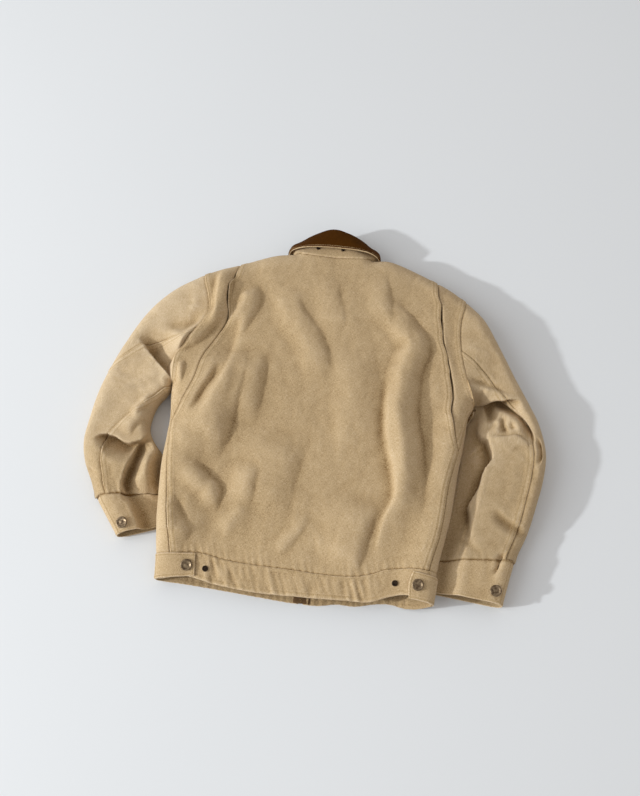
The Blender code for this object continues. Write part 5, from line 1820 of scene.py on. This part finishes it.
    def band_back(self) -> None:
        """Back of the waistband, gathered, from the centre back's lower edge to the hem."""
        sides = (self.left, self.right)
        start, end = (side.seam_plan(side.band_y()) for side in sides)
        width = end[0] - start[0]
        x = start[0] + width * shares([width], 2.6, FINE, FINE)
        v = shares([42.0], 2.4, COARSE, FINE[:8]).T
        top_y = BACK_SEAM.at("y", x)
        y = top_y + (BACK_HEM.at("y", x) - top_y) * v
        x = x + 0.0 * v
        for side, column in ((self.left, 0), (self.right, -1)):
            shift = side.seam_plan(y[:, column])[:, 0] - x[:, column]
            reach = 1 - ease(np.abs(x - x[:, column:][:, :1]) / 60)
            x = x + shift[:, None] * reach
        plan = np.stack([x, y], -1)
        cloth = self.cloth("band_back", plan, self.gather(plan, v))
        self.keep(cloth.sew(BAND_HEM, HEMMED, seed=45))

    def band_front(self, side: Side) -> None:
        """Front of the waistband, flat on the floor and rolled up to the side seam.

        Args:
            side: which side.
        """
        y = side.band_y()
        rows = []
        down = shares([42.0], 2.6, COARSE, FINE[:8])[0]
        for share in down:
            roll = self.rolled(side, y, float(side.side.at("seam", y)), 16, share)
            start = roll[-1, :2]
            top_y = y - FRONT_DROP
            x = np.linspace(start[0], float(CENTRE_FRONT.at("x", top_y)) + side.way * ZIP_HALF,
                            60)[1:]
            part = (x - start[0]) / (x[-1] - start[0])
            base = y + part * (top_y - y)
            hem = FRONT_HEM.at("y", x)
            height = base + (hem - base) * share
            height = height + (start[1] - height[0]) * (1 - ease(part / 0.12))
            wave = 1.7 * np.sin(x / 1.9 + 2.0 * np.sin(x / 17.0)) * ease(part / 0.1)
            floor = self.torso.surface(np.stack([x, height], -1), False)
            floor[:, 2] += np.maximum(0.0, wave * ease(share * 3) + 0.6)
            rows.append(np.concatenate([roll, floor]))
        cloth = Cloth.over("band_front_" + side.word, np.array(rows), self.CENTRE)
        cloth.sew(top=HEMMED, left=EdgeFinish(lift=0.5, rows=(2.0,)), seed=55 + side.way)
        # Painted shadow of the back band, darkening the front band beyond its roll.
        cloth.worn_and_shaded -= 0.45 * ease((np.arange(cloth.outer.shape[1]) - 7.0) / 6.0)
        self.keep(cloth)

    def tabs(self) -> None:
        """The two waist tabs that lie on the band."""
        share = shares([40.0], 2.2, FINE[:6], FINE[:6])[0][:, None]
        across = shares([66.0], 2.2, FINE[:6], FINE[:6])[0][None]
        a, b, c, d = self.LEFT_TAB
        top = a + (b - a) * across[..., None]
        low = c + (d - c) * across[..., None]
        plan = top + (low - top) * share[..., None]
        self.tab(self.torso.surface(plan, True), "tab_left", 65)
        rows = []
        for part in share[:, 0]:
            nose = 4.5 * (2 * part - 0.95) ** 2
            y = -313.0 - 43.0 * part
            depth = np.concatenate([np.linspace(44.0 - nose, 0.0, 30),
                                    np.linspace(0.0, 6.0, 8)[1:]])
            height = np.full(len(depth), y) - np.linspace(0, 6.0, len(depth))
            x = self.right.side.at("rail", height) - depth
            points = self.torso.surface(np.stack([x, height], -1), np.arange(len(depth)) < 30)
            rows.append(resample(points, across[0]))
        self.tab(np.array(rows), "tab_right", 67)

    def tab(self, outer: Array, name: str, seed: int) -> None:
        """Build a tab over a grid of points of the band's surface.

        Args:
            outer: the grid.
            name: the tab's name.
            seed: which set of ripples.
        """
        bare = Cloth.over(name, outer, self.CENTRE)
        cloth = Cloth.over(name, outer + bare.normals * 3.6, self.CENTRE, wall=2.4)
        self.keep(cloth.sew(TAB_EDGE, TAB_EDGE, TAB_EDGE, TAB_EDGE, seed))


@dataclass
class Arm(Sewn):
    """One sleeve: the cap piece, the elbow piece and the cuff."""

    side: Side
    armhole_paling: float
    pitch: float = 3.0
    placket: float = 14.0
    girth: float = 2.3

    def build(self) -> None:
        """Build the sleeve's three pieces of cloth and their stitches."""
        self.panels()
        self.cuff()
        self.sewing.sew("stitches_sleeve_" + self.side.word, self.rows)

    def panels(self) -> None:
        """The cap piece, round the outer edge and below, and the elbow piece on top."""
        sleeve, seams = self.side.sleeve, self.side.seams
        station = LAST_STATION * shares([430.0], self.pitch, FINE, FINE).T
        back = turn_of(seams.at("back", station))
        under = turn_of(seams.at("under", station))
        for word, width, start, end in (("sleeve_under_", 150.0, back, under),
                                        ("sleeve_upper_", 330.0, under, 1 + back)):
            part = shares([width], self.pitch, FINE, FINE)
            turns = start + (end - start) * part
            stations = station + 0.0 * turns
            outer = sleeve.ring(stations, turns)
            cloth = Cloth.over(word + self.side.word, outer, sleeve.middle(stations))
            at_cuff = BLOUSED if self.side.way < 0 else SEATED
            cloth.sew(SUNK, at_cuff, LAPPED, SUNK, 75 + self.side.way)
            # Paler towards the armhole, by an amount given for each sleeve.
            cloth.worn_and_shaded += self.armhole_paling * (1 - ease((stations - 5.0) / 4.0))
            self.keep(cloth)

    def cuff(self) -> None:
        """A ring whose start laps over its end at the placket, near the outer edge."""
        sleeve = self.side.sleeve
        share = shares([62.0], 2.6, FINE[:6], FINE[:8]).T
        station = LAST_STATION + (CUFF_STATION - LAST_STATION) * share
        outer, inner = (sleeve.table.spot(edge, 10.5) for edge in ("out", "in"))
        lap = self.placket / (self.girth * math.hypot(*(outer - inner)))
        run = np.linspace(0.0, 1 / lap + 1, 120)
        run = np.concatenate([[0.0, 0.05, 0.12], run[1:]])
        turns = float(turn_of(0.05)) + run[None] * lap + 0.0 * station
        stations = station + 0.0 * turns
        outer = sleeve.ring(stations, turns)
        bare = Cloth.over("cuff", outer, sleeve.middle(stations))
        raised = 3.3 * ease((2.7 - run) / 1.5)
        outer = outer + bare.normals * raised[None, :, None]
        cloth = Cloth.over("cuff_" + self.side.word, outer, sleeve.middle(stations))
        tucked = EdgeFinish(sink=2.4 - 1.2 * self.side.way, reach=7.0, slip=2.0)
        self.keep(cloth.sew(tucked, CUFF_HEM, PLACKET, seed=85 + self.side.way))


@dataclass
class Collar:
    """Stand and corduroy fall, one strip folded over the roll line."""

    torso: Torso
    left: Side
    right: Side
    finishes: Finishes
    sewing: Sewing
    step: float = 0.12
    wale_pitch: float = 2.3

    def stations(self) -> Pair:
        """Base points and outward directions at the 19 whole stations round the neck."""
        front = spline(self.left.neck, even(NECK_FRONT))[::-1]
        back = spline(BACK_NECK, even(NECK_BACK))
        other = spline(self.right.neck, even(NECK_FRONT))
        plan = np.concatenate([front, back[1:], other[1:]])
        upper = np.zeros(len(plan), bool)
        upper[NECK_FRONT:NECK_FRONT + NECK_BACK + 1] = True
        base = self.torso.surface(plan, upper)
        slopes = []
        for shift in ((1.5, 0.0), (0.0, 1.5)):
            ahead = self.torso.surface(plan + shift, upper)
            behind = self.torso.surface(plan - shift, upper)
            slopes.append((ahead - behind) / 3.0)
        normals = unit(np.cross(slopes[0], slopes[1])) * np.where(upper, 1, -1)[:, None]
        for corner, near in ((NECK_FRONT, 1), (NECK_FRONT + NECK_BACK, -1)):
            normals[corner] = unit(normals[corner + near] + normals[corner - near])
        return base, normals

    def strip(self) -> tuple[Array, Array, Array]:
        """The folded strip's hollow side, its outward directions and its stations."""
        base, normals = self.stations()
        whole = np.arange(len(base), dtype=float)
        crest = np.stack([COLLAR.columns["crest_" + axis] for axis in "xyz"], -1)
        rise = np.linalg.norm(crest - base, axis=1)[:, None]
        up = (crest - base) / rise
        out = normals.copy()
        out[1:-1] += (normals[:-2] + normals[2:]) * 0.5
        out = unit(out - up * (out * up).sum(-1, keepdims=True))
        station = np.linspace(0.0, whole[-1], int(whole[-1] / self.step) + 1)

        def between(values: Array) -> Array:
            """Values at the fine stations."""
            return np.stack([smooth(whole, column, station) for column in values.T], -1)

        base, up, out, rise = between(base), unit(between(up)), unit(between(out)), between(rise)
        gap, leaf_up, leaf_out = (
            COLLAR.at(column, station)[:, None] for column in ("gap", "leaf_up", "leaf_out")
        )
        s, bend, t = even(12)[None], (np.pi * even(10))[None], even(20)[None]
        arch = 2.0 * np.sin(np.pi * t) * ease((gap - 2.3) / 0.5)
        along = (rise * s, rise + gap / 2 * np.sin(bend), rise + (leaf_up - rise) * t)
        away = (0.0 * rise * s, gap / 2 * (1 - np.cos(bend)), gap + (leaf_out - gap) * t + arch)
        a = np.concatenate([along[0], along[1][:, 1:], along[2][:, 1:]], 1)[..., None]
        b = np.concatenate([away[0], away[1][:, 1:], away[2][:, 1:]], 1)[..., None]
        turn = np.concatenate([0 * s[0], bend[0, 1:], 0 * t[0, 1:] + np.pi])[None, :, None]
        facing = np.cos(turn) * out[:, None] - np.sin(turn) * up[:, None]
        return base[:, None] + a * up[:, None] + b * out[:, None], facing, station

    def build(self) -> None:
        """Build the stand, the fall, its wales and their stitches."""
        points, facing, station = self.strip()
        turn = station - NECK_FRONT
        near = np.clip(1 - np.minimum(abs(turn), abs(turn - NECK_BACK)) / 2, 0, 1)[:, None]
        stand = Cloth("collar_stand", points[:, :14].copy(), facing[:, :14],
                      self.grain(points[:, :14]), CANVAS, np.zeros(points[:, :14].shape[:2]))
        stand.sew(left=EdgeFinish(lift=0.6, width=3.0, rows=(2.0,), pucker=0.35, pitch=10.0),
                  seed=93)
        finish_cloth(stand, [self.finishes.canvas])
        leaf = points[:, 13:].copy()
        rise = unit(leaf[:, 0] - points[:, 0])[:, None]
        bend = np.concatenate([np.ones(10), np.linspace(1.0, 0.0, leaf.shape[1] - 10)])
        leaf += rise * (3.0 * near)[..., None] * bend[None, :, None]
        outer = leaf - facing[:, 13:] * CORDUROY
        fall = Cloth("collar_fall", outer, -facing[:, 13:], self.grain(leaf), CORDUROY,
                     np.zeros(leaf.shape[:2]))
        fall.sew(right=EdgeFinish(lift=0.2, width=5.0, rows=(3.4,), pucker=0.25, pitch=12.0),
                 seed=95)
        fall.worn_and_shaded *= 0.25
        finish_cloth(fall, [self.finishes.corduroy, self.finishes.canvas], 1)
        self.wales(fall)
        self.sewing.sew("stitches_collar", stand.stitch_rows + fall.stitch_rows)
        self.stand = stand

    def wales(self, fall: Cloth) -> None:
        """The corduroy's ribs, from the roll line to the outer edge of the fall.

        Args:
            fall: the finished fall.
        """
        count = int(runs(fall.outer)[1][:, -1].max() / self.wale_pitch)
        rows = even(count) * (len(fall.outer) - 1)
        low = np.minimum(rows.astype(int), len(fall.outer) - 2)
        part = (rows - low)[:, None, None]
        grid = np.concatenate([fall.outer - 0.35 * fall.normals, fall.normals], -1)[:, 1:-1:2]
        lines = grid[low] * (1 - part) + grid[low + 1] * part
        lines[..., 2] = np.maximum(lines[..., 2], 1.0)
        grow("corduroy_wales", [(line[:, :3], line[:, 3:]) for line in lines], rib_tree(),
             "corduroy", Radius=0.85 * MM, Sides=6, Finish=self.finishes.wale)

    def grain(self, points: Array) -> Array:
        """Places on the flat strip: along the neck, and from the neck to the edge."""
        across, along = runs(points)
        return np.stack([along, across], -1)


@dataclass
class Fitting:
    """A round metal fitting turned from a profile of (radius, height)."""

    name: str
    profile: Points
    sides: int = 40

    def build(self, point: Array, normal: Array, finish: Material, slot: str) -> None:
        """Turn the fitting and seat it on the cloth.

        Args:
            point: seat, in jacket millimetres.
            normal: outward direction.
            finish: its material.
            slot: not used.
        """
        solid = bmesh.new()
        rings = []
        for radius, height in self.profile:
            if radius == 0.0:
                rings.append([solid.verts.new((0.0, 0.0, height * MM))])
                continue
            turns = [2 * math.pi * k / self.sides for k in range(self.sides)]
            rings.append([solid.verts.new((radius * MM * math.cos(t), radius * MM * math.sin(t),
                                           height * MM)) for t in turns])
        for low, high in zip(rings, rings[1:]):
            for k in range(self.sides):
                after = (k + 1) % self.sides
                corners = [low[k % len(low)], low[after % len(low)],
                           high[after % len(high)], high[k % len(high)]]
                solid.faces.new(list(dict.fromkeys(corners)))
        bmesh.ops.recalc_face_normals(solid, faces=solid.faces[:])
        turn = Vector(normal).to_track_quat("Z", "Y").to_matrix().to_4x4()
        bmesh.ops.transform(solid, matrix=Matrix.Translation(Vector(place(point))) @ turn,
                            verts=solid.verts[:])
        mesh = mesh_of(self.name, solid)
        mesh.materials.append(finish)
        mesh.shade_smooth()
        mesh.set_sharp_from_angle(angle=math.radians(50))
        declare(add_object(self.name, mesh), self.name)


@dataclass
class Fittings:
    """Buttons on cuffs and tabs, studs on the band, snaps on the collar stand."""

    torso: Torso
    left: Side
    right: Side
    finishes: Finishes

    BUTTON = [(0.0, 2.5), (2.2, 2.6), (3.0, 2.3), (6.0, 2.3), (6.9, 2.9), (7.8, 3.5),
              (8.8, 3.6), (9.6, 3.2), (10.0, 2.5), (9.7, 1.9), (8.6, 1.5), (5.0, 1.1),
              (4.6, 0.4), (4.6, -0.6), (0.0, -0.6)]
    STUD = [(0.0, 1.5), (1.3, 1.45), (1.7, 0.7), (2.6, 0.7), (3.2, 1.5), (4.2, 1.55),
            (5.0, 1.0), (5.2, 0.2), (5.2, -0.4), (0.0, -0.4)]
    SNAP = [(0.0, 0.9), (1.2, 0.9), (1.6, 0.5), (2.3, 0.6), (2.8, 1.3), (3.4, 1.0),
            (3.6, 0.3), (3.6, -0.3), (0.0, -0.3)]

    def on_torso(self, spot: tuple[float, float]) -> Pair:
        """Point and outward direction on the upper wall of the torso.

        Args:
            spot: plan place.

        Returns:
            The point and the direction.
        """
        grid = np.array(spot, float) + np.stack(
            np.meshgrid((-4.0, 0.0, 4.0), (-4.0, 0.0, 4.0)), -1)
        surface = self.torso.surface(grid, True)
        normal = unit(np.cross(surface[1, 2] - surface[1, 0], surface[2, 1] - surface[0, 1]))
        return surface[1, 1], normal

    def build(self, stand: Cloth) -> None:
        """Build every fitting.

        Args:
            stand: the collar stand, which the snaps sit on.
        """
        metal = (self.finishes.metal, "button_metal")
        dark = (self.finishes.dark, "stud_metal")
        for name, spot, profile, finish, height in (
                ("button_tab_left", (-188, -344), self.BUTTON, metal, BUTTON_SEAT),
                ("button_tab_right", (207, -334), self.BUTTON, metal, BUTTON_SEAT),
                ("stud_left", (-155, -347), self.STUD, dark, STUD_SEAT),
                ("stud_right", (169, -334), self.STUD, dark, STUD_SEAT)):
            point, normal = self.on_torso(spot)
            Fitting(name, profile).build(point + normal * height, normal, *finish)
        for side, station, share in ((self.left, 10.80, 0.16), (self.right, 10.74, 0.15)):
            turns = float(turn_of(share)) + np.array([[-0.01, 0.0, 0.01]] * 3)
            stations = station + np.array([[-0.06], [0.0], [0.06]]) + 0.0 * turns
            ring = side.sleeve.ring(stations, turns)
            cloth = Cloth.over("seat", ring, side.sleeve.middle(stations))
            normal = cloth.normals[1, 1]
            Fitting("button_cuff_" + side.word, self.BUTTON).build(
                ring[1, 1] + normal * CUFF_SEAT, normal, *metal)
        for word, station in (("left", 7.0), ("right", 10.0)):
            row = int(station / Collar.step)
            normal = stand.normals[row, 4]
            Fitting("hood_snap_" + word, self.SNAP, 24).build(
                stand.outer[row, 4] + normal * SNAP_SEAT, normal, *dark)


@dataclass
class Zip:
    """Tapes, teeth, slider and pull."""

    torso: Torso
    finishes: Finishes
    sewing: Sewing
    tape_columns: tuple[float, ...] = (0.8, 1.6, 3.0, 5.0, 8.0, 11.0, 14.0)
    tape_ends: tuple[float, float] = (-379.5, 206.0)
    teeth_ends: tuple[float, float] = (-378.0, 190.0)
    tooth_pitch: float = 3.0

    def build(self, nodes: dict[str, Object]) -> None:
        """Dress the tapes and the metal of the frame's nodes, and add the teeth."""
        for word, way in (("left", -1), ("right", 1)):
            self.tape(word, way)
        self.teeth()
        for name in ("zip_slider", "zip_pull"):
            nodes[name].data.materials.clear()
            nodes[name].data.materials.append(self.finishes.brass)

    def line(self, offset: float, rise: float, start: float, end: float) -> Pair:
        """Line along the zip, beside its middle."""
        y = np.linspace(start, end, 160)
        plan = CENTRE_FRONT.along("x", y) + (offset, 0.0)
        points = self.torso.surface(plan, False)
        points[:, 2] += rise
        return points, np.tile([0.0, 0.0, -1.0], (len(points), 1))

    def tape(self, word: str, way: int) -> None:
        """One tape, inside its front edge."""
        outer = np.stack([self.line(way * offset, 2.5, *self.tape_ends)[0]
                          for offset in self.tape_columns], 1)
        cloth = Cloth.over("zip_tape_" + word, outer, outer + (0.0, 0.0, 10.0), wall=0.8)
        finish_cloth(cloth, [self.finishes.tape])

    def teeth(self) -> None:
        """Two interlocking rows of teeth."""
        tooth = small_piece("tooth", (1.6, 4.2, 2.4), 8, 6)
        start, end = self.teeth_ends
        rows = [self.line(way * 0.9, 2.6, start + way * self.tooth_pitch / 4, end)
                for way in (-1, 1)]
        grow("zip_teeth", rows, self.sewing.tree, "zip_metal", Piece=tooth,
             Pitch=self.tooth_pitch * MM, Lift=0.0, Uneven=0.0, Seed=1,
             Finish=self.finishes.brass)
        bpy.data.objects.remove(tooth)


# --- floor, light and camera


@dataclass(frozen=True)
class Studio:
    """Pale floor, low sun from the left with a soft fill, and the camera."""

    aim: tuple[float, float, float] = (-0.002, 0.0155, 0.02)
    distance: float = 2.0342
    azimuth: float = 7.0
    elevation: float = 66.0
    sky_power: float = 0.55
    lamp_distance: float = 6.0

    def build(self) -> None:
        """Build floor, lights and camera."""
        self.floor()
        self.lights()
        self.camera()

    def floor(self) -> None:
        """A large plain floor, just below the cloth."""
        solid = bmesh.new()
        bmesh.ops.create_grid(solid, x_segments=1, y_segments=1, size=6.0)
        mesh = mesh_of("floor", solid)
        finish, graph, shader = new_material("pale_floor")
        tone = graph.mix(graph.noise(graph.place(), 1.3), (0.72, 0.735, 0.75, 1),
                         (0.75, 0.76, 0.775, 1))
        graph.put(shader, {"Base Color": tone, "Roughness": 0.85})
        mesh.materials.append(finish)
        add_object("floor", mesh)

    def lights(self) -> None:
        """A low crisp key, a wide soft one above it, and an even sky."""
        scene = bpy.context.scene
        world = bpy.data.worlds.new("studio")
        world.use_nodes = True
        sky = world.node_tree.nodes["Background"]
        sky.inputs["Color"].default_value = (1.0, 0.975, 0.955, 1.0)
        sky.inputs["Strength"].default_value = self.sky_power
        scene.world = world
        for name, power, size, turn, height in (
                ("key", 248.0, 0.24, 19.0, 23.0), ("soft_key", 130.0, 4.6, 15.0, 38.0)):
            lamp = bpy.data.objects.new(name, bpy.data.lights.new(name, "AREA"))
            lamp.data.shape = "DISK"
            lamp.data.energy = power
            lamp.data.size = size
            lamp.data.color = (0.93, 0.975, 1.0)
            turn, height = math.radians(turn), math.radians(height)
            way = Vector((math.cos(turn) * math.cos(height),
                          math.sin(turn) * math.cos(height), -math.sin(height)))
            lamp.location = Vector(self.aim) - way * self.lamp_distance
            lamp.rotation_euler = way.to_track_quat("-Z", "Y").to_euler()
            lamp.visible_camera = False
            scene.collection.objects.link(lamp)

    def camera(self) -> None:
        """The camera at the photograph's angle."""
        scene = bpy.context.scene
        camera = bpy.data.objects.new("camera", bpy.data.cameras.new("camera"))
        camera.data.lens = 50.0
        camera.data.sensor_fit = "VERTICAL"
        camera.data.sensor_height = 36.0
        turn, height = math.radians(self.azimuth), math.radians(self.elevation)
        back = Vector((math.sin(turn) * math.cos(height), -math.cos(turn) * math.cos(height),
                       math.sin(height)))
        camera.location = Vector(self.aim) + back * self.distance
        camera.rotation_euler = (-back).to_track_quat("-Z", "Y").to_euler()
        scene.collection.objects.link(camera)
        scene.camera = camera


# --- all together


def surfaces() -> tuple[Torso, Side, Side]:
    """The torso and both sides with their sleeves."""
    left_rail = LEFT_SIDE.along("rail", np.linspace(LEFT_ARMHOLE[-1][1], LOWEST, 36))
    right_rail = RIGHT_SIDE.along("rail", np.linspace(LOWEST, RIGHT_ARMHOLE[-1][1], 36))
    outlines = []
    station = np.linspace(0.0, CUFF_STATION, 60)
    for table, shoulder in ((LEFT_SLEEVE, LEFT_SHOULDER), (RIGHT_SLEEVE, RIGHT_SHOULDER)):
        outer = np.concatenate([spline(shoulder, even(24)), table.spot("out", station[1:])])
        outlines.append((outer, table.spot("in", station)))
    left_top, left_inner = outlines[0]
    right_top, right_inner = outlines[1][0][::-1], outlines[1][1]
    torso = Torso([left_rail, right_rail, left_top, right_top])
    above = np.array([[0.0, 300.0]])
    left_wall = np.concatenate([left_rail[:1] + above, left_rail])
    right_wall = np.concatenate([right_rail, right_rail[-1:] + above])
    left_sleeve = Sleeve([left_top, left_inner[::-1]], torso, left_wall, LEFT_SLEEVE,
                         LEFT_ARMHOLE, LEFT_CREASES, LEFT_FADE)
    right_sleeve = Sleeve([right_top, right_inner], torso, right_wall, RIGHT_SLEEVE,
                          RIGHT_ARMHOLE, RIGHT_CREASES, RIGHT_FADE)
    left = Side("left", -1, LEFT_SIDE, LEFT_ARMHOLE, LEFT_SHOULDER, LEFT_PLEAT,
                LEFT_FRONT_NECK, left_sleeve, LEFT_SEAMS)
    right = Side("right", 1, RIGHT_SIDE, RIGHT_ARMHOLE, RIGHT_SHOULDER, RIGHT_PLEAT,
                 RIGHT_FRONT_NECK, right_sleeve, RIGHT_SEAMS)
    return torso, left, right


def corners(box: Any) -> list[float]:
    """A box's numbers as one plain list."""
    return [float(value) for corner in box for value in corner]


def main() -> None:
    """Build the jacket on its frame."""
    logging.basicConfig(level=logging.INFO, format="%(name)s: %(message)s")
    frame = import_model()
    bpy.context.scene.view_settings.view_transform = "Standard"
    torso, left, right = surfaces()
    finishes = Finishes()
    sewing = Sewing(finishes.thread)
    Body(finishes, sewing, torso, left, right).build()
    for side, armhole_paling in ((left, 0.38), (right, 0.16)):
        Arm(finishes, sewing, side, armhole_paling).build()
    collar = Collar(torso, left, right, finishes, sewing)
    collar.build()
    Fittings(torso, left, right, finishes).build(collar.stand)
    Zip(torso, finishes, sewing).build(frame["nodes"])
    sewing.done()
    Studio().build()


if __name__ == "__main__":
    main()
